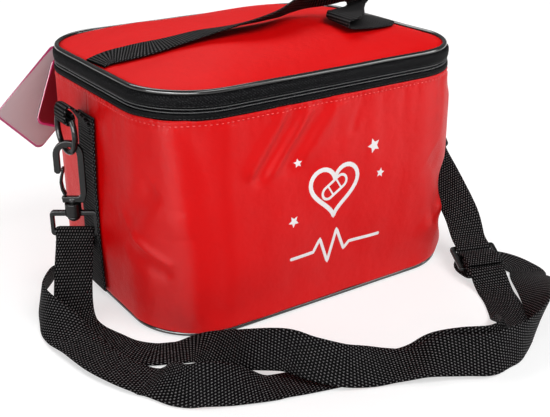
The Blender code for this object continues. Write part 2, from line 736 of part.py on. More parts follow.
def build_zip(case, lid):
    wall_strip("wall_top_tape", outline(), TAPE_FOOT, TAPE_FOOT + TAPE_HEIGHT, TAPE_THICKNESS,
               "black_tape", True, case)
    wall_strip("zip_coil_lower", open_run(0, COIL_END_ANGLE, COIL_END_ANGLE), LOWER_COIL_FOOT,
               LOWER_COIL_FOOT + COIL_ROW_HEIGHT, COIL_THICKNESS, "zip_coil", False, case)
    wall_strip("zip_coil_upper", open_run(0, COIL_SPLIT_ANGLE, COIL_END_ANGLE), UPPER_COIL_FOOT,
               UPPER_COIL_FOOT + COIL_ROW_HEIGHT, COIL_THICKNESS, "zip_coil", False, lid)
    held_angle = COIL_SPLIT_ANGLE + SIDE_SEAM_GAP / CORNER_RADIUS
    held_run = [corner_point(-1, 1, COIL_END_ANGLE + (held_angle - COIL_END_ANGLE) * share, 0)
                for share in (0, 0.25, 0.5, 0.75, 1)]
    wall_strip("zip_coil_held", held_run, UPPER_COIL_FOOT, UPPER_COIL_FOOT + COIL_ROW_HEIGHT,
               COIL_THICKNESS, "zip_coil", False, case)
    wall_strip("back_hinge_strip", back_run(0, ZIP_END_ANGLE + STOP_LENGTH / CORNER_RADIUS),
               LOWER_COIL_FOOT, UPPER_COIL_FOOT + COIL_ROW_HEIGHT, TAPE_THICKNESS, "black_tape", False, case)
    for name, side in (("zip_stop_left", -1), ("zip_stop_right", 1)):
        ends = [corner_point(side, 1, ZIP_END_ANGLE + share * STOP_LENGTH / CORNER_RADIUS, 0)
                for share in ((0.9, 0.1) if side < 0 else (0.1, 0.9))]
        wall_strip(name, ends, LOWER_COIL_FOOT, LOWER_COIL_FOOT + COIL_ROW_HEIGHT, COIL_THICKNESS,
                   "zip_metal", False, case)


def back_run(inset, start_angle):
    """The back of the plan between the two ends of the zip, from right to left."""
    count = CORNER_STEPS // 2
    right = [corner_point(1, 1, start_angle + (math.pi / 2 - start_angle) * step / count, inset)
             for step in range(count + 1)]
    left = [Vector((-point.x, point.y, 0)) for point in reversed(right)]
    return right + left


def dome_height(share):
    return LID_EDGE_HEIGHT + DOME_RISE * (1 - share ** 2)


def dome_sheet(name, inset, drop, thickness, slot, lid):
    """One layer of the domed lid: rings of the plan shrink towards the crown as they rise."""
    bm = bmesh.new()
    plan = outline(inset)
    rings = []
    for share in DOME_RING_SHARES:
        height = dome_height(share) - drop
        rings.append([bm.verts.new((point.x * share, point.y * share, height)) for point in plan])
    for outer, inner in zip(rings, rings[1:]):
        for index in range(len(plan)):
            after = (index + 1) % len(plan)
            bm.faces.new((outer[index], outer[after], inner[after], inner[index]))
    bm.faces.new(rings[-1])
    mesh = mesh_from(bm, name)
    crown = max(mesh.polygons, key=lambda face: face.center.z)
    if crown.normal.z < 0:
        mesh.flip_normals()
    item = add_object(name, mesh, slot, lid)
    solidify(item, thickness)
    return item


def build_lid(lid):
    hang(wall_strip("lid_band", outline(), BAND_FOOT, BAND_TOP, TAPE_THICKNESS, "black_tape", True), lid)
    rim = [point + Vector((0, 0, LID_PIPING_HEIGHT))
           for point in outline(PIPING_INSET + UPPER_PIPING_RADIUS)]
    hang(round_tube("lid_piping", rim, UPPER_PIPING_RADIUS, "black_piping", True), lid)
    hang(dome_sheet("lid_panel", LID_EDGE_INSET, 0, SHELL_THICKNESS, "red_nylon", None), lid)
    foam_drop = SHELL_THICKNESS + LAYER_GAP
    hang(dome_sheet("lid_foam", LID_EDGE_INSET, foam_drop, FOAM_THICKNESS, "foam", None), lid)
    lining_drop = foam_drop + FOAM_THICKNESS + 2 * LAYER_GAP
    hang(dome_sheet("lid_lining", LID_EDGE_INSET + LAYER_GAP, lining_drop, LINING_THICKNESS,
                    "lining", None), lid)


def build_handle(lid):
    stations = [(Vector((x * HALF_LENGTH, y * HALF_DEPTH, LID_EDGE_HEIGHT + z * WEBBING_WIDTH)),
                 Vector(facing).normalized()) for x, y, z, *facing in HANDLE_SHARES]
    hang(ribbon("carry_handle", stations, WEBBING_WIDTH, WEBBING_THICKNESS, "black_webbing",
                WEBBING_WIDTH / 3), lid)


def build_side_bands(case):
    """Webbing sewn up each end, with a short folded tab that holds the ring's straight bar."""
    across = Vector((0, 1, 0))
    for side, word in ((-1, "left"), (1, "right")):
        x = side * (HALF_LENGTH + SEAT_GAP + HALF_LAYER)
        band = [(Vector((x, SIDE_BAND_SHIFT, height)), across)
                for height in (WALL_FOOT, RING_CENTRE_HEIGHT + END_BAND_RISE)]
        ribbon(word + "_end_webbing", band, WEBBING_WIDTH, WEBBING_THICKNESS, "black_webbing",
               WEBBING_WIDTH, case)
        tab = [(Vector((side * (RING_X + out * RING_STANDOFF), SIDE_BAND_SHIFT,
                        RING_CENTRE_HEIGHT + up * RING_RADIUS)), across) for out, up in TAB_SHARES]
        ribbon(word + "_ring_tab", tab, TAB_WIDTH, WEBBING_THICKNESS, "black_webbing",
               WEBBING_WIDTH / 8, case)


def build_ring(name, empty):
    """A D of round wire: an arc closed by a straight bar that lies in the tab."""
    reach = math.acos(-RING_BAR_RISE / RING_RADIUS)
    points = []
    for step in range(21):
        angle = reach * (2 * step / 20 - 1)
        points.append(Vector((0, RING_RADIUS * math.sin(angle),
                              -RING_BAR_RISE - RING_RADIUS * math.cos(angle))))
    return round_tube(name, points, RING_WIRE, "black_plastic", True, empty, 3)


def build_hook(name, empty):
    """Swivel snap hook about its own eye, with a stem that turns in the frame's bore."""
    outer = HOOK_EYE_RADIUS + HOOK_ARM
    rise = -HOOK_EYE_DROP
    nose = [(-HOOK_EYE_RADIUS, -HOOK_NOSE_DROP + HOOK_ARM / 4), (-HOOK_EYE_RADIUS - HOOK_ARM / 4, -HOOK_NOSE_DROP),
            (-outer + HOOK_ARM / 3, -HOOK_NOSE_DROP), (-outer, -HOOK_NOSE_DROP + HOOK_ARM / 3)]
    back = [(outer, -HOOK_SEAT_DROP + HOOK_ARM / 2), (outer - HOOK_ARM / 3, -HOOK_FOOT_DROP + HOOK_ARM / 4),
            (outer - HOOK_ARM / 2, -HOOK_FOOT_DROP), (-HOOK_EYE_RADIUS - HOOK_ARM / 8, -HOOK_FOOT_DROP),
            (-HOOK_EYE_RADIUS - HOOK_ARM / 4, -HOOK_SEAT_DROP)]
    front = [(HOOK_EYE_RADIUS - HOOK_ARM / 3, -HOOK_SEAT_DROP), (HOOK_EYE_RADIUS, -HOOK_SEAT_DROP + HOOK_ARM / 3)]
    points = (nose + arc(0, rise, outer, 180, 0, 14) + back + front
              + arc(0, rise, HOOK_EYE_RADIUS, 0, 180, 12))
    body = plate_from_outline(name, points, HOOK_THICKNESS, "black_plastic", empty)
    bevel(body, HOOK_THICKNESS / 12, 1, 50)
    overlap = HOOK_FOOT_DROP - HOOK_ARM / 2
    head_top = FRAME_TOP_DROP + FRAME_BRIDGE + SEAT_GAP
    profile = [(0, -overlap), (POST_RADIUS, -overlap), (POST_RADIUS, -head_top),
               (POST_HEAD_RADIUS, -head_top), (POST_HEAD_RADIUS, -head_top - POST_HEAD_HEIGHT / 2),
               (POST_RADIUS, -head_top - POST_HEAD_HEIGHT), (0, -head_top - POST_HEAD_HEIGHT)]
    stem = lathe(name + "_stem", profile, "black_plastic", empty)
    move_to_cutters(stem)
    boolean(body, stem, "UNION")
    return body


def build_gate(name, empty):
    """The hook's springing tongue, from its root up to the inside of the nose."""
    across = Vector((0, 1, 0))
    stations = [(Vector((x * HOOK_EYE_RADIUS, 0, z * HOOK_SEAT_DROP)), across) for x, z in GATE_SHARES]
    item = ribbon(name, stations, GATE_WIDTH, GATE_THICKNESS, "black_plastic", GATE_WIDTH, empty)
    bevel(item, GATE_THICKNESS / 5, 1, 60)
    return item


def build_swivel_frame(name, strap, place, turn):
    """The loop that the strap runs through, with the boss that the hook's stem turns in."""
    half = WEBBING_WIDTH / 2 + FRAME_SIDE_GAP
    height = FRAME_BAR_DROP - RING_RADIUS + FRAME_BAR_RADIUS - FRAME_TOP_DROP
    middle = -FRAME_TOP_DROP - height / 2
    outer = [(x, z + middle) for x, z in rounded_rectangle(2 * (half + FRAME_ARM), height, FRAME_ARM)]
    window_top = -FRAME_TOP_DROP - FRAME_BRIDGE
    window_foot = -(FRAME_BAR_DROP - RING_RADIUS - FRAME_BAR_RADIUS)
    window = [(-half, window_foot), (half, window_foot), (half, window_top), (-half, window_top)]
    body = plate_from_outline(name, outer, FRAME_DEPTH, "black_plastic", strap, (window,))
    body.location = place
    body.rotation_euler = turn
    bevel(body, FRAME_DEPTH / 8, 1, 50)
    boss_top = -HOOK_FOOT_DROP - SEAT_GAP
    boss = lathe(name + "_boss", [(0, boss_top), (COLLAR_RADIUS, boss_top), (COLLAR_RADIUS, window_top),
                                  (0, window_top)], "black_plastic", strap)
    bore_radius = POST_RADIUS + SEAT_GAP
    bore = lathe(name + "_bore", [(0, boss_top + OVERRUN), (bore_radius, boss_top + OVERRUN),
                                  (bore_radius, window_top - OVERRUN), (0, window_top - OVERRUN)],
                 "black_plastic", strap)
    for tool, operation in ((boss, "UNION"), (bore, "DIFFERENCE")):
        tool.location = place
        tool.rotation_euler = turn
        move_to_cutters(tool)
        boolean(body, tool, operation)
    return body


def build_tri_glide(strap):
    slot_long = WEBBING_WIDTH + 2 * FRAME_SIDE_GAP
    width = slot_long + 2 * GLIDE_BAR
    length = 3 * GLIDE_BAR + 2 * GLIDE_SLOT
    outer = rounded_rectangle(width, length, GLIDE_BAR * 3 / 4)
    slots = []
    for side in (-1, 1):
        middle = side * (GLIDE_BAR + GLIDE_SLOT) / 2
        slots.append([(x, z + middle) for x, z in rounded_rectangle(slot_long, GLIDE_SLOT, GLIDE_BAR / 4, 2)])
    body = plate_from_outline("tri_glide", outer, GLIDE_THICKNESS, "black_plastic", None, slots)
    bevel(body, GLIDE_THICKNESS / 6, 1, 50)
    frame = Matrix((GLIDE_ACROSS, GLIDE_UP, GLIDE_ACROSS.cross(GLIDE_UP))).transposed()
    body.matrix_world = Matrix.Translation(GLIDE_PLACE) @ frame.to_4x4()
    hang(body, strap)


def build_strap(strap, left_place, right_place, right_turn):
    """One length of webbing: hook, slide, round the floor to the other hook and back to the slide."""
    reach = FRAME_BAR_RADIUS + FRAME_DEPTH / 5 + LAYER_GAP + HALF_LAYER
    bar = Vector((0, 0, -(FRAME_BAR_DROP - RING_RADIUS)))
    axes = right_turn.to_matrix()
    right_bar = STRAP_AXIS + right_place + axes @ bar
    across = axes @ Vector((1, 0, 0))
    down = -(axes @ Vector((0, 0, 1)))
    front = axes @ Vector((0, -1, 0))
    right_turned = turn_over(right_bar, across, down, -front, reach, 2 * reach)
    tail = [(place + down * 2 * WEBBING_WIDTH / 3, facing) for place, facing in right_turned[:1]]
    pass_through = glide_stations(GLIDE_PASS_SHARES)
    run_down = tail + right_turned + route(HOOK_SIDE_SHARES) + pass_through
    left_across = -Vector((math.cos(LEFT_TURN), math.sin(LEFT_TURN), 0))
    left_front = Vector((left_across.y, -left_across.x, 0))
    if left_front.y > 0:
        left_front = -left_front
    left_bar = STRAP_AXIS + left_place + bar
    left_turned = turn_over(left_bar, left_across, Vector((0, 0, -1)), left_front, reach, reach)
    everything = (run_down + route(FREE_LOOP_SHARES) + route(FRONT_RUN_SHARES) + left_turned
                  + route(BACK_RUN_SHARES) + glide_stations(GLIDE_LOOP_SHARES))
    hang(ribbon("strap_webbing", everything, WEBBING_WIDTH, WEBBING_THICKNESS, "black_webbing",
                WEBBING_WIDTH / 3, None, SEAT_GAP), strap)


def corner_arc_plate(name, radius, thickness, empty):
    """A small curved plate about the corner's centre, for one face of the zip slider."""
    half = SLIDER_LENGTH / CORNER_RADIUS / 2
    points = [Vector((-radius * math.sin(half * turn), radius * math.cos(half * turn), 0))
              for turn in (-1, -0.5, 0, 0.5, 1)]
    item = wall_strip(name, points, -SLIDER_HEIGHT / 2, SLIDER_HEIGHT / 2, SLIDER_PLATE, "zip_metal",
                      False, empty)
    return item


def build_slider(slider, pull):
    """Two curved plates joined by a thin web between the coils, with a bail for the pull."""
    outer_radius = CORNER_RADIUS + SLIDER_CLEARANCE + SLIDER_PLATE
    inner_radius = CORNER_RADIUS - COIL_THICKNESS - SLIDER_CLEARANCE
    body = corner_arc_plate("zip_slider", outer_radius, SLIDER_PLATE, slider)
    inner = corner_arc_plate("zip_slider_inner", inner_radius, SLIDER_PLATE, slider)
    web = flat_plate("zip_slider_web", [Vector((x * SLIDER_LENGTH / 4, y, 0)) for x, y in (
        (-1, inner_radius - SLIDER_PLATE / 2), (1, inner_radius - SLIDER_PLATE / 2),
        (1, outer_radius - SLIDER_PLATE / 2), (-1, outer_radius - SLIDER_PLATE / 2))],
        -SLIDER_WEB / 2, SLIDER_WEB, "zip_metal", slider)
    bail_points = [Vector((0, outer_radius - BAIL_WIRE / 2 + (BAIL_RADIUS + BAIL_WIRE / 2) * math.sin(turn),
                           BAIL_RADIUS * math.cos(turn)))
                   for turn in [math.pi * step / 10 for step in range(11)]]
    bail = as_mesh(round_tube("zip_slider_bail", bail_points, BAIL_WIRE, "zip_metal", False, slider, 2))
    for other in (web, inner, bail):
        move_to_cutters(other)
        boolean(body, other, "UNION")
    loop = [Vector((x, 0, z - PULL_LENGTH / 2)) for x, z in
            rounded_rectangle(PULL_WIDTH, PULL_LENGTH, PULL_WIDTH / 4, 3)]
    round_tube("zip_pull", loop, PULL_WIRE, "zip_metal", True, pull, 2)


def build_cards(pull, large, small):
    """Two blank hang cards on one cord loop through the pull's lower bar."""
    down = Vector((0, 0, -PULL_LENGTH))
    ring = [down + Matrix.Rotation(-PULL_LEAN, 3, "X") @ Vector(
        (0, CORD_RADIUS * math.sin(turn), CORD_RADIUS * math.cos(turn) - CORD_RADIUS + PULL_WIRE + LOOP_WIRE + SEAT_GAP))
        for turn in [2 * math.pi * step / 20 for step in range(20)]]
    round_tube("tag_loop", ring, LOOP_WIRE, "tag_loop", True, pull, 2)
    for name, empty, (width, length), tilt, slot in (
            ("hang_tag_large", large, LARGE_CARD, LARGE_CARD_TILT, "card_pale"),
            ("hang_tag_small", small, SMALL_CARD, SMALL_CARD_TILT, "card_dark")):
        middle = CARD_HOLE_INSET - length / 2
        outer = [(x, z + middle) for x, z in rounded_rectangle(width, length, CARD_CORNER)]
        hole = arc(0, 0, CARD_HOLE_RADIUS, 0, 330, 11)
        card = plate_from_outline(name, outer, CARD_THICKNESS, slot, None, (hole,))
        card.rotation_euler = (0, tilt, 0)
        card.parent = empty


def build_moving(case, lid):
    strap = add_empty("strap_axis", STRAP_AXIS, case)
    right_turn = Matrix.Rotation(-RIGHT_SWING, 3, "X")
    right_drop = right_turn @ Vector((0, 0, -RING_RADIUS))
    left_place = Vector((-RING_X, 0, -RING_RADIUS))
    right_place = Vector((RING_X, 0, 0)) + right_drop
    left_euler = Matrix.Rotation(LEFT_TURN, 3, "Z").to_euler()
    right_euler = (right_turn @ Matrix.Rotation(RIGHT_FRAME_TURN, 3, "Z")).to_euler()
    right_hook_euler = (right_turn @ Matrix.Rotation(math.pi, 3, "Z")).to_euler()
    build_swivel_frame("left_swivel_frame", strap, left_place, left_euler)
    build_swivel_frame("right_swivel_frame", strap, right_place, right_euler)
    build_tri_glide(strap)
    build_strap(strap, left_place, right_place, right_euler)
    for word, side, place, turn in (("left", -1, left_place, left_euler),
                                    ("right", 1, right_place, right_hook_euler)):
        bar = Vector((side * RING_X, SIDE_BAND_SHIFT, RING_CENTRE_HEIGHT + RING_BAR_RISE))
        build_ring(word + "_d_ring", add_empty(word + "_ring_axis", bar, case))
        hook = add_empty(word + "_hook_axis", place, strap)
        hook.rotation_euler = turn
        build_hook(word + "_snap_hook", hook)
        build_gate(word + "_hook_gate", add_empty(word + "_gate_axis", Vector(), hook))
    build_zip_moving(case)


def build_zip_moving(case):
    centre = Vector((-CORNER_X, CORNER_Y, COIL_MIDDLE))
    slider = add_empty("zip_slider_axis", centre, case)
    slider.rotation_euler = (0, 0, math.pi / 2 - SLIDER_ANGLE)
    bar_out = CORNER_RADIUS + SLIDER_CLEARANCE + SLIDER_PLATE + PULL_WIRE + SEAT_GAP
    pull = add_empty("zip_pull_axis", Vector((0, bar_out, 0)), slider)
    pull.rotation_euler = (PULL_LEAN, 0, 0)
    bpy.context.view_layer.update()
    build_slider(slider, pull)
    below = bar_out + PULL_LENGTH * math.sin(PULL_LEAN)
    drop = PULL_LENGTH * math.cos(PULL_LEAN) + 2 * CORD_RADIUS - PULL_WIRE - LOOP_WIRE - SEAT_GAP
    cards = []
    for name, share in (("tag_large_axis", LARGE_CARD_SHARE), ("tag_small_axis", SMALL_CARD_SHARE)):
        along = below + CORD_RADIUS * share
        sag = CORD_RADIUS * (1 - math.sqrt(1 - share ** 2))
        place = Vector((-CORNER_X - along * math.cos(SLIDER_ANGLE),
                        CORNER_Y + along * math.sin(SLIDER_ANGLE), COIL_MIDDLE - drop + sag))
        marker = add_empty(name, place)
        cards.append(hang(marker, pull))
    build_cards(pull, *cards)


def build_everything():
    case = add_empty("case_body_axis", Vector())
    lid = add_empty("lid_axis", HINGE_AXIS, case)
    build_shell(case)
    build_side_bands(case)
    holder = add_empty("zip_holder", Vector())
    build_zip(case, holder)
    upper = bpy.data.objects["zip_coil_upper"]
    bpy.data.objects.remove(holder)
    hang(upper, lid)
    build_lid(lid)
    build_handle(lid)
    build_moving(case, lid)


clear_scene()
PARTS = new_collection("toy_case")
CUTTERS = new_collection("cutters")
CUTTERS.hide_render = True
build_everything()
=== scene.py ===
"""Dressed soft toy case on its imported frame: cloth, webbing, zip, plastic hooks and hang cards.

Metres, +Z up. X runs along the case, the front faces -Y, and the case stands on z = 0. The walls
are drawn from a plan run and a height: the run is the way round the plan from the middle of the
front, positive towards the right end.
"""
import math

import bmesh
import bpy
from mathutils import Matrix, Vector, noise


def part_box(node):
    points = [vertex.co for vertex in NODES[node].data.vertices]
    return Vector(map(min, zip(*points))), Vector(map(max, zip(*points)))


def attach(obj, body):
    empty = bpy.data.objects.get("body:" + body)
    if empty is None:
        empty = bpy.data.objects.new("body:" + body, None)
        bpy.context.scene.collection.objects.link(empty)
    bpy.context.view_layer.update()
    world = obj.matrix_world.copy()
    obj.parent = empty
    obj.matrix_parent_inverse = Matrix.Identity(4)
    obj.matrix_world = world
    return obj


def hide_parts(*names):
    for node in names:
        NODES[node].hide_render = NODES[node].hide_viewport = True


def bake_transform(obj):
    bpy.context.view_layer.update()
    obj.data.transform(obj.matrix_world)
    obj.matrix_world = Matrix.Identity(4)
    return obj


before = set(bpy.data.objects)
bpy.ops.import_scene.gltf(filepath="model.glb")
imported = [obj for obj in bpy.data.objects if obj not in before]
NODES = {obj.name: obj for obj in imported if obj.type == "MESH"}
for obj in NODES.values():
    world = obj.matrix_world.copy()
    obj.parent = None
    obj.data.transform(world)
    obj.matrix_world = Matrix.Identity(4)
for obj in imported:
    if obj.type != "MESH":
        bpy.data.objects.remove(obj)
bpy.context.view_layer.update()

# Sizes that follow the frame
TAPE_LOW, TAPE_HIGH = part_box("wall_top_tape")
WALL_LOW, WALL_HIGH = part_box("front_wall")
COIL_LOW, COIL_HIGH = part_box("zip_coil_lower")
UPPER_COIL_LOW, UPPER_COIL_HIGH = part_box("zip_coil_upper")
BAND_LOW, BAND_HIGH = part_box("lid_band")
LID_LOW, LID_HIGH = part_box("lid_panel")
RIM_LOW, RIM_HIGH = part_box("lid_piping")
FOOT_LOW, FOOT_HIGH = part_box("bottom_piping")
LINING_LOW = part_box("inner_lining")[0]
END_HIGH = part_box("left_end_webbing")[1]
HALF_LENGTH = TAPE_HIGH.x
HALF_DEPTH = TAPE_HIGH.y
CORNER_RADIUS = 0.046
STRAIGHT_X = HALF_LENGTH - CORNER_RADIUS
STRAIGHT_Y = HALF_DEPTH - CORNER_RADIUS
QUARTER = math.pi / 2 * CORNER_RADIUS
HALF_PLAN = 2 * (STRAIGHT_X + STRAIGHT_Y + QUARTER)
SIDE_SHIFT = 0.005
FRONT_REACH = STRAIGHT_X + QUARTER + STRAIGHT_Y + SIDE_SHIFT
FOOT_FLARE = 0.0016
BELLY = 0.0020
CLOTH = 0.0006
STEP = 0.0017
PANEL_MEET = 0.00002
SEAM_DROP = 0.0034
WALL_SINK = -0.0003
WALL_SOFT = 0.0005
BACK_CALM = 0.75
GATHER_REACH = 0.015

# Webbing
WEB_WIDTH = 0.025
WEB_THICKNESS = 0.0015
SEAT_GAP = 0.0003
LAYER_GAP = 0.0004
LID_EDGE_HEIGHT = LID_LOW.z + 0.0010

# Folds of the front wall: run, height, run, height, width, depth
FOLDS = (
    (-0.1415, 0.0640, -0.1150, 0.0520, 0.0022, 0.0019),
    (-0.1450, 0.0520, -0.1180, 0.0440, 0.0050, -0.0017),
    (-0.0386, 0.1380, -0.0625, 0.1060, 0.0042, 0.0022),
    (-0.0300, 0.1350, -0.0560, 0.1000, 0.0040, -0.0019),
    (-0.0200, 0.1360, -0.0470, 0.1030, 0.0038, 0.0019),
    (-0.0080, 0.1360, -0.0350, 0.1040, 0.0050, -0.0017),
    (0.0030, 0.1370, -0.0220, 0.1090, 0.0055, 0.0015),
    (0.0222, 0.1360, 0.0148, 0.1180, 0.0030, -0.0010),
    (-0.1270, 0.0950, -0.1440, 0.0760, 0.0070, -0.0027),
    (-0.1130, 0.1330, -0.1060, 0.0850, 0.0110, 0.0027),
    (-0.1050, 0.0700, -0.1000, 0.0150, 0.0120, 0.0020),
    (-0.0940, 0.1300, -0.0900, 0.0200, 0.0100, -0.0020),
    (0.0860, 0.0330, 0.1120, 0.0120, 0.0080, 0.0024),
    (0.0920, 0.0780, 0.1180, 0.0500, 0.0100, -0.0027),
    (0.1020, 0.0420, 0.1280, 0.0250, 0.0060, 0.0024),
    (0.1180, 0.1200, 0.1220, 0.0750, 0.0080, 0.0020),
)


def lerp(low, high, share):
    return low + (high - low) * share


def smooth(share):
    share = max(0.0, min(1.0, share))
    return share * share * (3 - 2 * share)


def plan_point(run, inset=0.0):
    """Place and outward direction of the case's plan at a run from the middle of the front."""
    side = 1 if run >= 0 else -1
    run = abs(run)
    if run > HALF_PLAN:
        return plan_point(-side * (2 * HALF_PLAN - run), inset)
    if run <= STRAIGHT_X:
        place, out = Vector((run, -HALF_DEPTH, 0)), Vector((0, -1, 0))
    elif run <= STRAIGHT_X + QUARTER:
        turn = (run - STRAIGHT_X) / CORNER_RADIUS - math.pi / 2
        out = Vector((math.cos(turn), math.sin(turn), 0))
        place = Vector((STRAIGHT_X, -STRAIGHT_Y, 0)) + out * CORNER_RADIUS
    elif run <= STRAIGHT_X + QUARTER + 2 * STRAIGHT_Y:
        along = run - STRAIGHT_X - QUARTER - STRAIGHT_Y
        place, out = Vector((HALF_LENGTH, along, 0)), Vector((1, 0, 0))
    elif run <= STRAIGHT_X + 2 * QUARTER + 2 * STRAIGHT_Y:
        turn = (run - STRAIGHT_X - QUARTER - 2 * STRAIGHT_Y) / CORNER_RADIUS
        out = Vector((math.cos(turn), math.sin(turn), 0))
        place = Vector((STRAIGHT_X, STRAIGHT_Y, 0)) + out * CORNER_RADIUS
    else:
        along = HALF_PLAN - run
        place, out = Vector((along, HALF_DEPTH, 0)), Vector((0, 1, 0))
    place = place - out * inset
    return Vector((place.x * side, place.y, 0)), Vector((out.x * side, out.y, 0))


def fold_depth(run, height):
    """How far the drawn folds push the cloth out at a place on the wall."""
    total = 0.0
    for run_a, height_a, run_b, height_b, width, depth in FOLDS:
        along_x, along_z = run_b - run_a, height_b - height_a
        share = ((run - run_a) * along_x + (height - height_a) * along_z) / (along_x ** 2 + along_z ** 2)
        if not -0.3 < share < 1.3:
            continue
        held = max(0.0, min(1.0, share))
        away = math.hypot(run - run_a - along_x * held, height - height_a - along_z * held)
        if away < 3 * width:
            total += depth * math.exp(-(away / width) ** 2)
    return total


def gathers(run, height):
    """Small upright puckers below the stitched edge, and the puffed strip above it."""
    seam = WALL_HIGH.z - SEAM_DROP
    base = plan_point(run)[0]
    spread = noise.noise(base * 55 + Vector((0, 0, 3.1)))
    spread += 0.6 * noise.noise(base * 140 + Vector((0, 0, 9.4)))
    depth = 0.0
    if height < seam:
        fade = math.exp(-(seam - height) / GATHER_REACH)
        depth += 0.0017 * spread * fade
    pinch = math.exp(-((height - seam) / 0.0012) ** 2)
    depth -= 0.00035 * pinch
    if height > seam:
        share = (height - seam) / SEAM_DROP
        depth += 0.0006 * math.sin(math.pi * min(1.0, share)) + 0.0002 * spread
    return depth


def wall_out(run, height):
    """How far the cloth stands outside the case's plan at one place on the wall."""
    share = (WALL_HIGH.z - height) / (WALL_HIGH.z - WALL_LOW.z)
    out = FOOT_FLARE * smooth(share) + BELLY * math.sin(math.pi * max(0.0, min(1.0, share)))
    out += fold_depth(run, height) + gathers(run, height)
    fade = math.sin(math.pi * max(0.02, min(0.98, share))) ** 0.5
    spot = plan_point(run)[0]
    out += 0.0018 * fade * noise.noise(Vector((spot.x * 17, spot.y * 17, height * 13)))
    out += 0.0006 * fade * noise.noise(Vector((spot.x * 60, spot.y * 60, height * 38)))
    foot = math.exp(-(height - WALL_LOW.z) / 0.006)
    out += 0.0005 * foot * noise.noise(Vector((spot.x * 90, spot.y * 90, 7.7)))
    out *= 1 - BACK_CALM * smooth((spot.y - SIDE_SHIFT) / 0.05)
    return WALL_SINK + WALL_SOFT * math.log1p(math.exp((out - WALL_SINK) / WALL_SOFT))


def wall_point(run, height, lift=0.0):
    place, out = plan_point(run)
    return place + out * (wall_out(run, height) + lift) + Vector((0, 0, height))


# Finishing helpers

def add_mesh(name, bm, smooth_shade=True):
    mesh = bpy.data.meshes.new(name)
    bm.to_mesh(mesh)
    bm.free()
    item = bpy.data.objects.new(name, mesh)
    bpy.context.scene.collection.objects.link(item)
    if smooth_shade:
        mesh.shade_smooth()
    return item


def place(item, body, slot, material, *replaced):
    """Gives a finished piece its material, its body and the nodes that it stands for."""
    item.data.materials.clear()
    item.data.materials.append(material)
    if body:
        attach(item, body)
    if replaced:
        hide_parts(*replaced)
    return item


def thicken(item, thickness, offset=-1):
    modifier = item.modifiers.new("Cloth thickness", "SOLIDIFY")
    modifier.thickness = thickness
    modifier.offset = offset
    return item


def grid_mesh(rows, columns, point, closed_rows=False, closed_columns=False, coordinate=None):
    """A grid of quads from point(row, column), with its own run map for patterns."""
    bm = bmesh.new()
    layer = bm.loops.layers.uv.new("run")
    verts = [[bm.verts.new(point(row, column)) for column in range(columns)] for row in range(rows)]
    last_row = rows if closed_rows else rows - 1
    last_column = columns if closed_columns else columns - 1
    for row in range(last_row):
        for column in range(last_column):
            after_row, after_column = (row + 1) % rows, (column + 1) % columns
            face = bm.faces.new((verts[row][column], verts[row][after_column],
                                 verts[after_row][after_column], verts[after_row][column]))
            corners = ((row, column), (row, column + 1), (row + 1, column + 1), (row + 1, column))
            for loop, (at_row, at_column) in zip(face.loops, corners):
                loop[layer].uv = coordinate(at_row, at_column) if coordinate else (at_column, at_row)
    return bm


# Materials: shader maths written as Python

def feed(tree, socket, value):
    if isinstance(value, Signal):
        value = value.source
    if isinstance(value, bpy.types.NodeSocket):
        tree.links.new(value, socket)
    elif isinstance(value, tuple) and socket.type == "RGBA":
        socket.default_value = (*value, 1)
    else:
        socket.default_value = value


class Signal:
    """A number or a socket in a shader tree; arithmetic on it adds Math nodes."""

    def __init__(self, tree, source):
        self.tree = tree
        self.source = source

    def math(self, operation, *others):
        node = self.tree.nodes.new("ShaderNodeMath")
        node.operation = operation
        for socket, value in zip(node.inputs, (self, *others)):
            feed(self.tree, socket, value)
        return Signal(self.tree, node.outputs[0])

    def turned(self, other):
        return other if isinstance(other, Signal) else Signal(self.tree, other)

    def __add__(self, other):
        return self.math("ADD", other)

    def __radd__(self, other):
        return self.math("ADD", other)

    def __sub__(self, other):
        return self.math("SUBTRACT", other)

    def __rsub__(self, other):
        return self.turned(other).math("SUBTRACT", self)

    def __mul__(self, other):
        return self.math("MULTIPLY", other)

    def __rmul__(self, other):
        return self.math("MULTIPLY", other)

    def __truediv__(self, other):
        return self.math("DIVIDE", other)

    def __pow__(self, other):
        return self.math("POWER", other)

    def sine(self):
        return self.math("SINE")

    def size(self):
        return self.math("ABSOLUTE")

    def fraction(self):
        return self.math("FRACT")

    def floor(self):
        return self.math("FLOOR")

    def least(self, other):
        return self.math("MINIMUM", other)

    def most(self, other):
        return self.math("MAXIMUM", other)

    def held(self):
        return self.most(0.0).least(1.0)


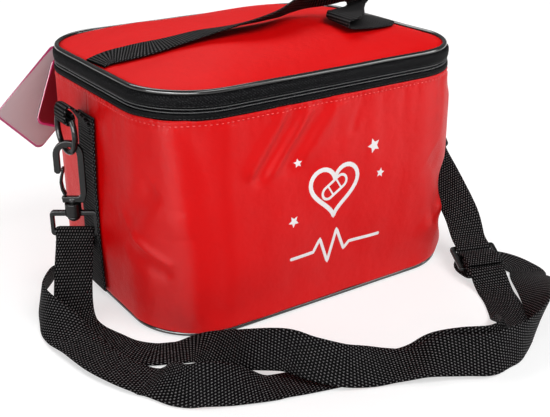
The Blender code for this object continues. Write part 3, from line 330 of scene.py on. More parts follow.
class Finish:
    """One procedural material built round a Principled shader."""

    def __init__(self, name, **settings):
        self.material = bpy.data.materials.new(name)
        self.material.use_nodes = True
        self.tree = self.material.node_tree
        self.shader = self.tree.nodes["Principled BSDF"]
        self.set(**settings)

    def set(self, **settings):
        for name, value in settings.items():
            feed(self.tree, self.shader.inputs[name.replace("_", " ")], value)

    def node(self, kind, settings=None, output=0, **inputs):
        node = self.tree.nodes.new("ShaderNode" + kind)
        for name, value in (settings or {}).items():
            if name == "stops":
                self.set_stops(node.color_ramp, value)
            else:
                setattr(node, name, value)
        for name, value in inputs.items():
            feed(self.tree, self.socket(node, name), value)
        return Signal(self.tree, node.outputs[output])

    def socket(self, node, name):
        """An input by its identifier, or else by its label with underscores for spaces."""
        for entry in node.inputs:
            if entry.identifier == name:
                return entry
        return node.inputs[name.replace("_", " ")]

    def set_stops(self, ramp, stops):
        while len(ramp.elements) < len(stops):
            ramp.elements.new(1.0)
        for element, (position, colour) in zip(ramp.elements, stops):
            element.position = position
            element.color = (*colour, 1)

    def place(self, kind="object"):
        """The piece's own coordinates in millimetres, or its run map in millimetres."""
        if kind == "object":
            vector = self.node("TexCoord", output=3)
        else:
            vector = self.node("UVMap", {"uv_map": "run"})
        return self.node("VectorMath", {"operation": "SCALE"}, Vector=vector, Scale=1000.0)

    def split(self, vector):
        node = self.tree.nodes.new("ShaderNodeSeparateXYZ")
        feed(self.tree, node.inputs[0], vector)
        return [Signal(self.tree, output) for output in node.outputs]

    def noise(self, vector, scale, detail=2.0, roughness=0.5):
        return self.node("TexNoise", {"noise_dimensions": "3D"}, Vector=vector, Scale=scale,
                         Detail=detail, Roughness=roughness)

    def mix(self, factor, low, high):
        node = self.tree.nodes.new("ShaderNodeMix")
        node.data_type = "RGBA"
        feed(self.tree, node.inputs[0], factor)
        feed(self.tree, node.inputs[6], low)
        feed(self.tree, node.inputs[7], high)
        return Signal(self.tree, node.outputs[2])

    def bump(self, height, strength, distance):
        normal = self.node("Bump", Height=height, Strength=strength, Distance=distance)
        self.set(Normal=normal)
        return self


THREAD_MM = 0.33


def nylon(name, kind):
    """Bright woven nylon: fine threads, slightly uneven dye and soft small creases."""
    streaked = kind == "run"
    finish = Finish(name, Specular_IOR_Level=0.11 if streaked else 0.06,
                    Anisotropic=0.95 if streaked else 0.0, Anisotropic_Rotation=0.25 if streaked else 0.0)
    where = finish.place(kind=kind)
    first, second, _ = finish.split(where)
    weft = (first * (math.pi / THREAD_MM)).sine()
    warp = (second * (math.pi / THREAD_MM)).sine()
    weave = weft * warp
    cloud = finish.noise(where, 0.035, 3.0)
    grain = finish.noise(where, 0.9, 2.0)
    rib = grain
    if streaked:
        drawn = finish.node("VectorMath", {"operation": "MULTIPLY"}, Vector=where,
                            Vector_001=(3.2, 0.22, 1.0))
        rib = finish.noise(drawn, 0.7, 2.0)
    shade = (cloud * 0.7 + grain * 0.3 + weave * 0.04).held()
    colour = finish.mix(shade, (0.60, 0.0006, 0.0012), (0.74, 0.0012, 0.002))
    finish.set(Base_Color=colour, Roughness=((0.34 if streaked else 0.46) + grain * 0.12).held())
    crumple = finish.noise(where, 0.11, 4.0, 0.55)
    height = weave * 0.06 + grain * 0.05 + rib * 0.08 + crumple * 1.4
    if streaked:
        near_seam = ((second - 1000 * WALL_HIGH.z + 12.0) / 12.0).held()
        upright = finish.node("VectorMath", {"operation": "MULTIPLY"}, Vector=where,
                              Vector_001=(0.26, 0.09, 1.0))
        pucker = finish.noise(upright, 1.0, 1.0)
        height = height + near_seam * near_seam * pucker * 4.5
    finish.bump(height, 0.55, 0.0006)
    return finish.material


def webbing(name, pitch=1.25, light=0.11):
    """Woven polypropylene webbing: rows of small raised picks, offset row by row, each pick's crown painted
    pale as a glint.
    """
    finish = Finish(name, Specular_IOR_Level=0.02)
    across, along, _ = finish.split(finish.place(kind="run"))
    row = (along / pitch).floor()
    offset = (row * 0.5).fraction()
    column = across / (pitch * 0.9) + offset
    cell_x = column.fraction() - 0.5
    cell_y = (along / pitch).fraction() - 0.5
    slant = cell_x + cell_y * 0.35
    bead = (1.0 - (slant * slant * 5.5 + cell_y * cell_y * 4.2)).held()
    wobble = finish.noise(finish.place(kind="run"), 0.35, 2.0)
    # Painted glint: the crown of each raised pick is painted pale, standing in for its shine on the black
    # webbing.
    shade = (bead ** 4.0) * (0.45 + wobble * 0.9)
    colour = finish.mix(shade.held(), (0.0006, 0.0005, 0.0007), (light, light * 0.96, light * 0.98))
    finish.set(Base_Color=colour, Roughness=(0.62 - bead * 0.16).held())
    finish.bump(bead + wobble * 0.12, 0.9, 0.0005)
    return finish.material


def twill(name, light=0.035):
    """Fine diagonal twill of the zip tape and the lid's band, its rib crests flecked with painted glints."""
    finish = Finish(name, Specular_IOR_Level=0.03)
    run, rise, _ = finish.split(finish.place(kind="run"))
    rib = ((run * 0.9 + rise * 1.1) * (2 * math.pi / 1.9)).sine() * 0.5 + 0.5
    cloud = finish.noise(finish.place(kind="run"), 0.25, 3.0)
    speck = ((finish.noise(finish.place(kind="run"), 1.1, 1.0) - 0.42) * 3.5).held()
    # Painted glint: pale specks on the rib crests stand in for the black twill's shine; the diagonal ribs
    # themselves are the weave.
    shade = (rib * speck * (cloud + 0.4)).held()
    colour = finish.mix(shade, (0.0016, 0.0016, 0.002), (light, light, light * 1.06))
    finish.set(Base_Color=colour, Roughness=(0.5 + cloud * 0.2).held())
    finish.bump(rib * 0.5 + cloud, 0.6, 0.0003)
    return finish.material


def smooth_black(name, base=(0.0018, 0.0018, 0.002), light=(0.005, 0.0048, 0.005), roughness=0.24,
                 grain_scale=0.6, depth=0.00012, **settings):
    """Moulded or extruded black plastic with a faint skin."""
    finish = Finish(name, **settings)
    where = finish.place()
    grain = finish.noise(where, grain_scale, 4.0, 0.6)
    wear = finish.noise(where, 0.12, 2.0)
    finish.set(Base_Color=finish.mix((grain * 0.6 + wear * 0.4).held(), base, light),
               Roughness=(roughness + grain * 0.16).held())
    finish.bump(grain, 0.35, depth)
    return finish.material


def plain_cloth(name, low, high, roughness=0.7, scale=0.5):
    finish = Finish(name, Specular_IOR_Level=0.3)
    where = finish.place()
    x, y, _ = finish.split(where)
    weave = (x * (math.pi / 0.4)).sine() * (y * (math.pi / 0.4)).sine()
    cloud = finish.noise(where, scale, 3.0)
    finish.set(Base_Color=finish.mix((cloud + weave * 0.1).held(), low, high), Roughness=roughness)
    finish.bump(weave * 0.2 + cloud, 0.5, 0.0003)
    return finish.material


def card_finish(name, face, edge, border):
    """Glossy printed card: a pale face inside a coloured border, read from the piece's own map."""
    finish = Finish(name, Specular_IOR_Level=0.5, Coat_Weight=0.5, Coat_Roughness=0.12)
    inside, _, _ = finish.split(finish.place(kind="run"))
    cloud = finish.noise(finish.place(kind="run"), 0.08, 3.0)
    rim = 1.0 - (inside / border).held()
    rim = (rim * 40.0 - 0.5).held()
    thin = ((inside - border * 1.35).size() * -8.0 + 1.3).held() * 0.55
    base = finish.mix(cloud, face, tuple(value * 0.9 for value in face))
    finish.set(Base_Color=finish.mix((rim + thin).held(), base, edge), Roughness=0.28)
    finish.bump(cloud, 0.15, 0.0002)
    return finish.material


CLOTH_WALL = nylon("red_nylon_wall", "run")
CLOTH_LID = nylon("red_nylon_lid", "object")
WEBBING = webbing("black_webbing_weave", 2.0, 0.20)
HANDLE_WEBBING = webbing("black_handle_weave", 1.9, 0.20)
BAND_TWILL = twill("black_twill_band", 0.040)
TAPE_TWILL = twill("black_zip_tape", 0.022)
PIPING = smooth_black("black_piping_vinyl", (0.003, 0.0026, 0.0026), (0.008, 0.007, 0.007), 0.16, 0.35,
                      Specular_IOR_Level=0.35, Coat_Weight=0.5, Coat_Roughness=0.07)
PLASTIC = smooth_black("black_moulded_plastic", roughness=0.16, Specular_IOR_Level=0.28)
# The coil's dark grey, paler than the black plastic, is a painted reflection standing in for the light its
# ribs reflect.
COIL = smooth_black("black_zip_coil", (0.016, 0.016, 0.017), (0.07, 0.07, 0.073), 0.3, 1.2)
METAL = smooth_black("black_painted_zip_metal", (0.015, 0.015, 0.016), (0.03, 0.03, 0.032), 0.22, 0.8,
                     Coat_Weight=0.5)
RED_THREAD = plain_cloth("red_thread", (0.72, 0.03, 0.03), (0.90, 0.12, 0.12), 0.45, 1.5)
BLACK_THREAD = plain_cloth("black_thread", (0.01, 0.01, 0.01), (0.05, 0.05, 0.05), 0.5, 1.5)
LINING = plain_cloth("grey_lining", (0.52, 0.53, 0.55), (0.70, 0.71, 0.73), 0.45, 0.06)
FOAM = plain_cloth("pale_foam", (0.74, 0.74, 0.70), (0.88, 0.88, 0.85), 0.95, 1.6)
BOARD = plain_cloth("grey_board", (0.36, 0.33, 0.29), (0.50, 0.47, 0.42), 0.85, 0.3)
PRINT = plain_cloth("white_print", (0.80, 0.76, 0.76), (0.90, 0.87, 0.87), 0.5, 0.8)
LOOP = plain_cloth("clear_tag_loop", (0.72, 0.72, 0.72), (0.86, 0.86, 0.86), 0.3, 1.0)
PALE_CARD = card_finish("pale_card", (0.50, 0.42, 0.44), (0.42, 0.01, 0.12), 1.7)
# The small card is a pale card whose face is painted dark red: painted shade and a painted red reflection of
# the case, inside its magenta border.
SHADED_CARD = card_finish("shaded_card", (0.16, 0.004, 0.012), (0.52, 0.01, 0.13), 1.9)


# Walls and panels

def wall_cloth(name, first, last, replaced):
    """One upright cloth panel of the case, from its foot to the stitched top edge."""
    columns = round((last - first) / STEP) + 1
    rows = round((WALL_HIGH.z - WALL_LOW.z) / STEP) + 1

    def height(row):
        return lerp(WALL_LOW.z, WALL_HIGH.z, row / (rows - 1))

    def point(row, column):
        return wall_point(lerp(first, last, column / (columns - 1)), height(row))

    def run_map(row, column):
        return lerp(first, last, column / (columns - 1)), height(row)

    item = add_mesh(name, grid_mesh(rows, columns, point, coordinate=run_map))
    thicken(item, CLOTH)
    return place(item, "case_body", "red_nylon", CLOTH_WALL, replaced)


def ring_strip(name, runs, section, closed):
    """A strip round the plan: section gives (outset, height, run map height) per row."""
    rows = len(section)
    columns = len(runs)

    def point(row, column):
        outset, height, _ = section[row]
        base, out = plan_point(runs[column])
        return base + out * outset + Vector((0, 0, height))

    def run_map(row, column):
        return (runs[column] if column < columns else runs[0] + 2 * HALF_PLAN,
                section[row % rows][2])

    return add_mesh(name, grid_mesh(rows, columns, point, closed_columns=closed, coordinate=run_map))


def whole_plan(step=0.003):
    count = round(2 * HALF_PLAN / step)
    return [-HALF_PLAN + 2 * HALF_PLAN * index / count for index in range(count)]


def tube_ring(name, centre, radius, outset, wobble, body, replaced, sides=10):
    """Vinyl piping round the plan: a full round tube, slightly uneven as sewn piping is."""
    runs = whole_plan(0.0025)

    def point(row, column):
        turn = 2 * math.pi * row / sides
        run = runs[column]
        base, out = plan_point(run)
        sway = wobble * noise.noise(Vector((run * 45, 2.2, radius * 900)))
        rise = wobble * noise.noise(Vector((run * 38, 8.2, radius * 900)))
        return (base + out * (outset + sway + radius * math.cos(turn))
                + Vector((0, 0, centre + rise + radius * math.sin(turn))))

    def run_map(row, column):
        return column * 0.0025, row * radius * 2 * math.pi / sides

    item = add_mesh(name, grid_mesh(sides, len(runs), point, True, True, run_map))
    return place(item, body, "black_piping", PIPING, replaced)


def build_walls():
    front_end = FRONT_REACH - PANEL_MEET
    back_start = FRONT_REACH + PANEL_MEET
    wall_cloth("front_wall_cloth", -front_end, front_end, "front_wall")
    wall_cloth("back_wall_cloth", back_start, 2 * HALF_PLAN - back_start, "back_wall")
    radius = (FOOT_HIGH.z - FOOT_LOW.z) / 2
    tube_ring("bottom_piping_vinyl", (FOOT_HIGH.z + FOOT_LOW.z) / 2, radius,
              FOOT_FLARE - 0.0006 - radius + 0.0003, 0.0001, "case_body", "bottom_piping")
    radius = (RIM_HIGH.z - RIM_LOW.z) / 2
    tube_ring("lid_piping_vinyl", (RIM_HIGH.z + RIM_LOW.z) / 2, radius, -0.0006 - radius, 0.0002,
              "lid", "lid_piping")


def plate(name, inset, low, high, body, slot, material, replaced, rings=24, dome=None):
    """A flat or domed panel over the plan, its rings closing on the middle."""
    runs = whole_plan(0.0035)

    def ring(share, lift):
        points = []
        for run in runs:
            base = plan_point(run, inset)[0]
            place_at = Vector((base.x * share, base.y * share, 0))
            place_at.z = dome(place_at, share) if dome else high
            points.append(place_at + Vector((0, 0, lift)))
        return points

    bm = bmesh.new()
    layers = []
    for lift in (0.0, low - high):
        loops = [[bm.verts.new(point) for point in ring(1 - index / rings, lift)] for index in range(rings)]
        middle = Vector((0, 0, (dome(Vector(), 0) if dome else high) + lift))
        centre = bm.verts.new(middle)
        layers.append(loops)
        for outer, inner in zip(loops, loops[1:]):
            for index in range(len(runs)):
                after = (index + 1) % len(runs)
                bm.faces.new((outer[index], outer[after], inner[after], inner[index]))
        for index in range(len(runs)):
            bm.faces.new((loops[-1][index], loops[-1][(index + 1) % len(runs)], centre))
    for index in range(len(runs)):
        after = (index + 1) % len(runs)
        bm.faces.new((layers[0][0][index], layers[0][0][after], layers[1][0][after], layers[1][0][index]))
    bmesh.ops.recalc_face_normals(bm, faces=bm.faces)
    item = add_mesh(name, bm)
    return place(item, body, slot, material, replaced)


LID_INSET = 0.0036
LID_LINING_INSET = 0.0052
DOME_RISE = LID_HIGH.z - LID_EDGE_HEIGHT


def lid_height(at, share):
    """The padded top: a soft crown that rolls down into the piping seam, with slack near it."""
    crown = LID_EDGE_HEIGHT + 0.0006 + DOME_RISE * (1 - share ** 2.3)
    edge = smooth((1 - share) / 0.12)
    pucker = noise.noise(Vector((at.x * 45, at.y * 45, 2.0))) * 0.0005 * math.exp(-(1 - share) / 0.10)
    soft = noise.noise(Vector((at.x * 14, at.y * 14, 4.0))) * 0.0014 * edge
    soft += noise.noise(Vector((at.x * 40, at.y * 40, 6.0))) * 0.0003 * edge
    pull = 0.0
    for side in (-1, 1):
        away = Vector((at.x - side * HALF_LENGTH * 0.9, at.y)).length
        pull -= 0.0012 * math.exp(-(away / 0.018) ** 2)
    return crown + (pucker + soft + pull) * edge


def build_lid():
    item = plate("lid_top_cloth", LID_INSET, LID_HIGH.z - 0.0009, LID_HIGH.z, "lid", "red_nylon",
                 CLOTH_LID, "lid_panel", 34, lid_height)
    section = []
    foot, top = BAND_LOW.z, BAND_HIGH.z + 0.0012
    for row in range(9):
        share = row / 8
        section.append((0.0001 + 0.0007 * math.sin(math.pi * share) - 0.0016 * smooth((share - 0.8) / 0.2),
                        lerp(foot, top, share), lerp(foot, top, share)))
    band = ring_strip("lid_band_twill", whole_plan(), section, True)
    thicken(band, 0.0010)
    place(band, "lid", "black_tape", BAND_TWILL, "lid_band")


def build_tape():
    foot, top = TAPE_LOW.z - 0.0006, TAPE_HIGH.z
    section = []
    for row in range(7):
        share = row / 6
        section.append((0.0004 + 0.0003 * math.sin(math.pi * share), lerp(foot, top, share),
                        lerp(foot, top, share)))
    tape = ring_strip("wall_top_twill", whole_plan(), section, True)
    thicken(tape, 0.0010)
    place(tape, "case_body", "black_tape", TAPE_TWILL, "wall_top_tape")


def build_panels():
    plate("bottom_cloth", 0.0035, 0.0002, 0.0012, "case_body", "red_nylon", CLOTH_LID, "bottom_panel", 12)


# Webbing bands

def spline_value(rows, position):
    index = min(int(position), len(rows) - 2)
    share = position - index
    before, start = rows[max(index - 1, 0)], rows[index]
    end, after = rows[index + 1], rows[min(index + 2, len(rows) - 1)]
    return 0.5 * (2 * start + (end - before) * share
                  + (2 * before - 5 * start + 4 * end - after) * share ** 2
                  + (3 * start - before - 3 * end + after) * share ** 3)


def sample_route(stations, step):
    places = [spot for spot, _ in stations]
    facings = [facing for _, facing in stations]
    samples = []
    for index in range(len(stations) - 1):
        length = (places[index + 1] - places[index]).length
        count = max(1, round(length / step))
        samples += [index + part / count for part in range(count)]
    samples.append(len(stations) - 1)
    return [(spline_value(places, at), spline_value(facings, at)) for at in samples]


def band_frames(samples, floor):
    frames = []
    for index, (spot, facing) in enumerate(samples):
        ahead = samples[min(index + 1, len(samples) - 1)][0]
        behind = samples[max(index - 1, 0)][0]
        run = (ahead - behind).normalized()
        across = (facing - run * facing.dot(run)).normalized()
        face = across.cross(run)
        if floor:
            lowest = spot.z - abs(across.z) * WEB_WIDTH / 2 - abs(face.z) * WEB_THICKNESS / 2
            spot = spot + Vector((0, 0, max(0, floor - lowest)))
        frames.append((spot, across, face))
    return frames


END_BAND_LIFT = 0.0013
END_STITCH_LIFT = 0.0021
EDGE_SHARES = (1.0, 0.96, 0.86, 0.5, 0.0, -0.5, -0.86, -0.96)


def band_section(width, thickness):
    """Half-round selvedges on a flat woven band: pairs of (across, up)."""
    section = []
    for share in EDGE_SHARES:
        height = thickness / 2 * (1 - 0.75 * max(0.0, (abs(share) - 0.86) / 0.14) ** 1.5)
        section.append((share * width / 2, height))
    return section + [(-across, -up) for across, up in section]


def band(name, stations, width, thickness, step, floor=0.0, smoothing=0):
    """Flat woven webbing lofted along a route, with a run map in metres along and across."""
    frames = band_frames(sample_route(stations, step), floor)
    for _ in range(smoothing):
        inner = []
        for before, here, after in zip(frames, frames[1:], frames[2:]):
            across = (before[1] + here[1] * 2 + after[1]).normalized()
            inner.append((here[0], across, (before[2] + here[2] * 2 + after[2]).normalized()))
        frames = [frames[0], *inner, frames[-1]]
    section = band_section(width, thickness)
    lengths = [0.0]
    for (before, _, _), (after, _, _) in zip(frames, frames[1:]):
        lengths.append(lengths[-1] + (after - before).length)

    def point(row, column):
        spot, across, face = frames[row]
        aside, up = section[column]
        return spot + across * aside + face * up

    def run_map(row, column):
        aside = section[column % len(section)][0]
        if column == len(section):
            aside = width / 2
        return aside + width, lengths[row]

    bm = grid_mesh(len(frames), len(section), point, False, True, run_map)
    layer = bm.loops.layers.uv["run"]
    bm.verts.ensure_lookup_table()
    count = len(section)
    for start, along in ((0, lengths[0]), ((len(frames) - 1) * count, lengths[-1])):
        face = bm.faces.new(bm.verts[start:start + count])
        for loop, (aside, up) in zip(face.loops, section):
            loop[layer].uv = (aside + width, along)
    bmesh.ops.recalc_face_normals(bm, faces=bm.faces)
    if bm.calc_volume(signed=True) < 0:
        bmesh.ops.reverse_faces(bm, faces=bm.faces)
    return add_mesh(name, bm)


# The strap's and handle's routes, in the same shares as the frame's own solids
HOOK_SIDE_SHARES = (
    (1.099, -0.660, 1.610, 0.80, -0.46, 0.38),
    (1.041, -0.936, 0.990, 0.82, -0.46, 0.34),
)

FREE_LOOP_SHARES = (
    (0.887, -1.383, 0.034, 0.92, -0.40, 0.00),
    (0.909, -1.269, 0.000, 0.90, -0.44, 0.00),
    (0.951, -1.205, 0.000, 0.57, -0.82, 0.00),
    (1.013, -1.177, 0.000, 0.09, -1.00, 0.00),
    (1.079, -1.191, 0.000, -0.42, -0.91, 0.00),
    (1.130, -1.246, 0.000, -0.82, -0.57, 0.00),
    (1.154, -1.326, 0.000, -1.00, -0.09, 0.00),
    (1.161, -1.426, 0.000, -1.00, 0.05, 0.00),
    (1.145, -1.537, 0.024, -0.95, 0.30, 0.00),
    (1.062, -1.644, 0.096, -0.86, 0.50, -0.10),
    (0.942, -1.840, 0.104, -0.70, 0.50, -0.50),
    (0.798, -2.032, 0.104, -0.50, 0.35, -0.79),
    (0.645, -2.213, 0.040, -0.30, 0.10, -0.95),
)

FRONT_RUN_SHARES = (
    (0.430, -2.330, 0.044, -0.46, -0.20, -0.87),
    (0.314, -2.351, 0.068, -0.46, -0.20, -0.87),
    (0.198, -2.340, 0.062, -0.43, -0.27, -0.86),
    (0.099, -2.245, 0.085, -0.55, -0.41, -0.72),
    (-0.017, -2.149, 0.098, -0.59, -0.52, -0.61),
    (-0.116, -2.064, 0.096, -0.77, -0.60, -0.24),
    (-0.231, -2.000, 0.096, -0.71, -0.64, -0.29),
    (-0.364, -1.957, 0.096, -0.72, -0.45, -0.53),
    (-0.463, -1.904, 0.092, -0.44, -0.49, -0.75),
    (-0.570, -1.777, 0.167, -0.35, -0.39, -0.85),
    (-0.636, -1.628, 0.206, -0.37, -0.37, -0.85),
    (-0.752, -1.426, 0.107, -0.47, -0.54, -0.69),
    (-0.810, -1.255, 0.005, -0.55, -0.71, -0.44),
    (-0.884, -1.117, 0.000, -0.55, -0.80, -0.23),
    (-0.992, -1.043, 0.000, -0.50, -0.87, 0.00),
    (-1.099, -0.968, 0.000, -0.66, -0.75, 0.00),
    (-1.190, -0.830, 0.000, -0.85, -0.53, 0.00),
    (-1.240, -0.660, 0.000, -0.94, -0.34, 0.00),
    (-1.281, -0.500, 0.000, -1.00, -0.00, 0.00),
    (-1.298, -0.383, 0.098, -0.93, 0.36, 0.00),
    (-1.273, -0.255, 0.438, -0.88, 0.48, 0.00),
    (-1.207, -0.096, 1.158, -0.83, 0.56, 0.00),
)

BACK_RUN_SHARES = (
    (-1.126, 0.099, 1.478, -0.83, 0.56, 0.00),
    (-1.165, 0.112, 0.893, -0.73, 0.51, -0.46),
    (-1.240, 0.101, 0.436, -0.50, 0.35, -0.79),
    (-1.331, 0.043, 0.195, -0.35, 0.15, -0.92),
    (-1.401, -0.085, 0.016, -0.20, 0.00, -0.98),
    (-1.430, -0.266, 0.000, -0.35, -0.10, -0.93),
    (-1.413, -0.447, 0.020, -0.78, -0.10, -0.62),
    (-1.380, -0.617, 0.104, -0.98, -0.10, -0.15),
    (-1.339, -0.915, 0.092, -0.97, 0.25, 0.00),
    (-1.273, -1.149, 0.048, -0.71, -0.71, -0.05),
    (-1.215, -1.287, 0.016, -0.42, -0.90, -0.10),
    (-1.165, -1.468, 0.002, -0.40, -0.78, -0.48),
    (-1.074, -1.606, 0.024, -0.24, -0.49, -0.84),
    (-0.975, -1.644, 0.000, -0.33, -0.66, -0.67),
    (-0.876, -1.676, 0.000, -0.42, -0.83, -0.36),
    (-0.777, -1.713, 0.000, -0.43, -0.90, -0.02),
    (-0.661, -1.755, 0.000, -0.43, -0.90, 0.00),
    (-0.512, -1.809, 0.000, -0.45, -0.89, -0.03),
    (-0.331, -1.872, 0.000, -0.62, -0.78, -0.10),
    (-0.198, -1.926, 0.000, -0.73, -0.68, -0.10),
    (-0.083, -1.989, 0.000, -0.64, -0.74, -0.21),
    (0.017, -2.069, 0.000, -0.47, -0.62, -0.62),
    (0.132, -2.170, 0.000, -0.36, -0.36, -0.86),
    (0.248, -2.255, 0.000, -0.10, -0.20, -0.97),
    (0.364, -2.245, 0.000, 0.00, -0.30, -0.95),
    (0.463, -2.160, 0.000, 0.26, -0.63, -0.73),
    (0.545, -2.069, 0.000, 0.62, -0.72, -0.31),
    (0.645, -1.957, 0.000, 0.81, -0.59, -0.05),
    (0.744, -1.787, 0.000, 0.86, -0.50, 0.00),
    (0.802, -1.649, 0.000, 0.87, -0.49, 0.00),
    (0.835, -1.553, 0.127, 0.87, -0.49, 0.03),
)

GLIDE_PASS_SHARES = (
    (-0.800, 0.116),
    (-0.560, 0.100),
    (-0.424, 0.098),
    (-0.320, 0.084),
    (-0.268, 0.020),
    (-0.236, -0.052),
    (-0.172, -0.140),
    (-0.076, -0.208),
    (0.076, -0.208),
    (0.172, -0.140),
    (0.236, -0.052),
    (0.268, 0.020),
    (0.320, 0.084),
    (0.424, 0.098),
    (0.520, 0.084),
    (0.632, 0.016),
    (0.672, -0.104),
    (0.616, -0.196),
)

GLIDE_LOOP_SHARES = (
    (0.840, 0.176),
    (0.600, 0.180),
    (0.424, 0.178),
    (0.296, 0.172),
    (0.208, 0.132),
    (0.156, 0.060),
    (0.136, -0.008),
    (0.096, -0.096),
    (0.000, -0.136),
    (-0.096, -0.096),
    (-0.136, 0.000),
    (-0.096, 0.096),
    (0.000, 0.140),
    (0.104, 0.200),
    (0.240, 0.256),
    (0.424, 0.260),
    (0.680, 0.264),
)

HANDLE_SHARES = (
    (-0.959, 0.000, 0.086, 0.00, -1.00, 0.00),
    (-0.893, 0.000, 0.174, 0.00, -1.00, 0.00),
    (-0.826, -0.043, 0.262, 0.00, -1.00, 0.00),
    (-0.694, -0.149, 0.430, 0.00, -1.00, 0.00),
    (-0.554, -0.191, 0.558, 0.00, -1.00, 0.07),
    (-0.421, -0.213, 0.662, 0.00, -0.99, 0.12),
    (-0.281, -0.245, 0.750, 0.00, -0.97, 0.24),
    (-0.132, -0.266, 0.838, 0.00, -0.94, 0.34),
    (0.000, -0.245, 0.902, 0.00, -0.90, 0.44),
    (0.132, -0.191, 0.982, 0.00, -0.81, 0.59),
    (0.248, -0.117, 1.030, 0.00, -0.72, 0.69),
    (0.364, -0.096, 1.098, 0.00, -0.67, 0.74),
    (0.471, -0.138, 1.126, 0.00, -0.74, 0.67),
    (0.545, -0.186, 1.118, -0.10, -0.85, 0.50),
    (0.591, -0.213, 1.070, 0.00, -0.93, 0.36),
    (0.618, -0.223, 0.990, 0.00, -0.93, 0.36),
    (0.620, -0.229, 0.910, 0.00, -0.94, 0.34),
    (0.599, -0.234, 0.850, 0.00, -0.95, 0.30),
    (0.554, -0.245, 0.826, 0.10, -0.95, 0.25),
    (0.496, -0.298, 0.822, 0.50, -0.84, 0.15),
    (0.455, -0.362, 0.818, 0.60, -0.79, 0.05),
    (0.421, -0.415, 0.838, 0.45, -0.89, -0.02),
    (0.384, -0.447, 0.838, 0.10, -0.98, -0.12),
    (0.352, -0.450, 0.802, 0.00, -0.98, -0.15),
    (0.339, -0.452, 0.718, 0.00, -0.98, -0.15),
    (0.350, -0.454, 0.638, 0.00, -0.98, -0.16),
    (0.397, -0.457, 0.622, 0.00, -0.98, -0.17),
    (0.471, -0.468, 0.594, 0.00, -0.98, -0.17),
    (0.554, -0.447, 0.546, 0.00, -0.99, -0.12),
    (0.653, -0.383, 0.462, 0.00, -1.00, -0.05),
    (0.744, -0.266, 0.366, 0.00, -1.00, 0.00),
    (0.818, -0.128, 0.278, 0.00, -1.00, 0.00),
    (0.893, -0.043, 0.182, 0.00, -1.00, 0.00),
    (0.959, -0.043, 0.090, 0.00, -1.00, 0.00),
)

TAB_SHARES = (
    (-0.824, -0.643),
    (-0.824, -0.071),
    (-0.750, 0.250),
    (-0.586, 0.607),
    (-0.346, 0.957),
    (-0.099, 1.186),
    (0.074, 1.186),
    (0.185, 0.957),
    (0.188, 0.607),
    (0.133, 0.453),
    (0.000, 0.389),
    (-0.133, 0.453),
    (-0.188, 0.607),
    (-0.167, 0.800),
    (-0.068, 0.971),
)

RING_HEIGHT = 0.118
RING_STANDOFF = 0.0162
TAB_WIDTH = 0.017
STRAP_AXIS = Vector((0, SIDE_SHIFT, RING_HEIGHT))
RING_X = HALF_LENGTH + RING_STANDOFF
RING_RADIUS = 0.014
FRAME_BAR = 0.057
FRAME_BAR_REACH = 0.0018 + 0.0036 / 5 + LAYER_GAP + WEB_THICKNESS / 2
LEFT_TURN = math.radians(-34)
RIGHT_FRAME_TURN = math.radians(-31)
RIGHT_SWING = math.radians(38)
GLIDE_PLACE = Vector((0.926 * HALF_LENGTH, -1.277 * HALF_DEPTH, 0.0110))
GLIDE_ACROSS = Vector((0.89, -0.42, 0.06)).normalized()
GLIDE_UP = Vector((-0.20, -0.16, 0.96))
GLIDE_UP = (GLIDE_UP - GLIDE_ACROSS * GLIDE_UP.dot(GLIDE_ACROSS)).normalized()
GLIDE_RUN = GLIDE_ACROSS.cross(GLIDE_UP)


def route(shares):
    stations = []
    for x, y, lift, *facing in shares:
        width = Vector(facing).normalized()
        lean = math.sqrt(max(0, 1 - width.z ** 2))
        rest = WEB_WIDTH / 2 * abs(width.z) + WEB_THICKNESS / 2 * lean + SEAT_GAP
        stations.append((Vector((x * HALF_LENGTH, y * HALF_DEPTH, rest + lift * WEB_WIDTH)), width))
    return stations


def glide_stations(shares):
    return [(GLIDE_PLACE + GLIDE_RUN * along * WEB_WIDTH + GLIDE_UP * up * WEB_WIDTH, GLIDE_ACROSS)
            for along, up in shares]


def turn_over(centre, across, down, front, reach, leg):
    stations = [(centre + front * reach + down * leg, across)]
    for step in range(5):
        angle = math.pi * step / 4
        stations.append((centre + front * reach * math.cos(angle) - down * reach * math.sin(angle), across))
    stations.append((centre - front * reach + down * leg, across))
    return stations


def right_axes():
    return Matrix.Rotation(-RIGHT_SWING, 3, "X") @ Matrix.Rotation(RIGHT_FRAME_TURN, 3, "Z")


def strap_stations():
    right_turn = Matrix.Rotation(-RIGHT_SWING, 3, "X")
    left_place = Vector((-RING_X, 0, -RING_RADIUS))
    right_place = Vector((RING_X, 0, 0)) + right_turn @ Vector((0, 0, -RING_RADIUS))
    axes = right_axes()
    bar = Vector((0, 0, -FRAME_BAR))
    right_bar = STRAP_AXIS + right_place + axes @ bar
    across, down, front = axes @ Vector((1, 0, 0)), -(axes @ Vector((0, 0, 1))), axes @ Vector((0, -1, 0))
    right_turned = turn_over(right_bar, across, down, -front, FRAME_BAR_REACH, 2 * FRAME_BAR_REACH)
    tail = [(spot + down * 2 * WEB_WIDTH / 3, facing) for spot, facing in right_turned[:1]]
    left_across = -Vector((math.cos(LEFT_TURN), math.sin(LEFT_TURN), 0))
    left_front = Vector((left_across.y, -left_across.x, 0))
    if left_front.y > 0:
        left_front = -left_front
    left_turned = turn_over(STRAP_AXIS + left_place + bar, left_across, Vector((0, 0, -1)), left_front,
                            FRAME_BAR_REACH, FRAME_BAR_REACH)
    return (tail + right_turned + route(HOOK_SIDE_SHARES) + glide_stations(GLIDE_PASS_SHARES)
            + route(FREE_LOOP_SHARES) + route(FRONT_RUN_SHARES) + left_turned
            + route(BACK_RUN_SHARES) + glide_stations(GLIDE_LOOP_SHARES))


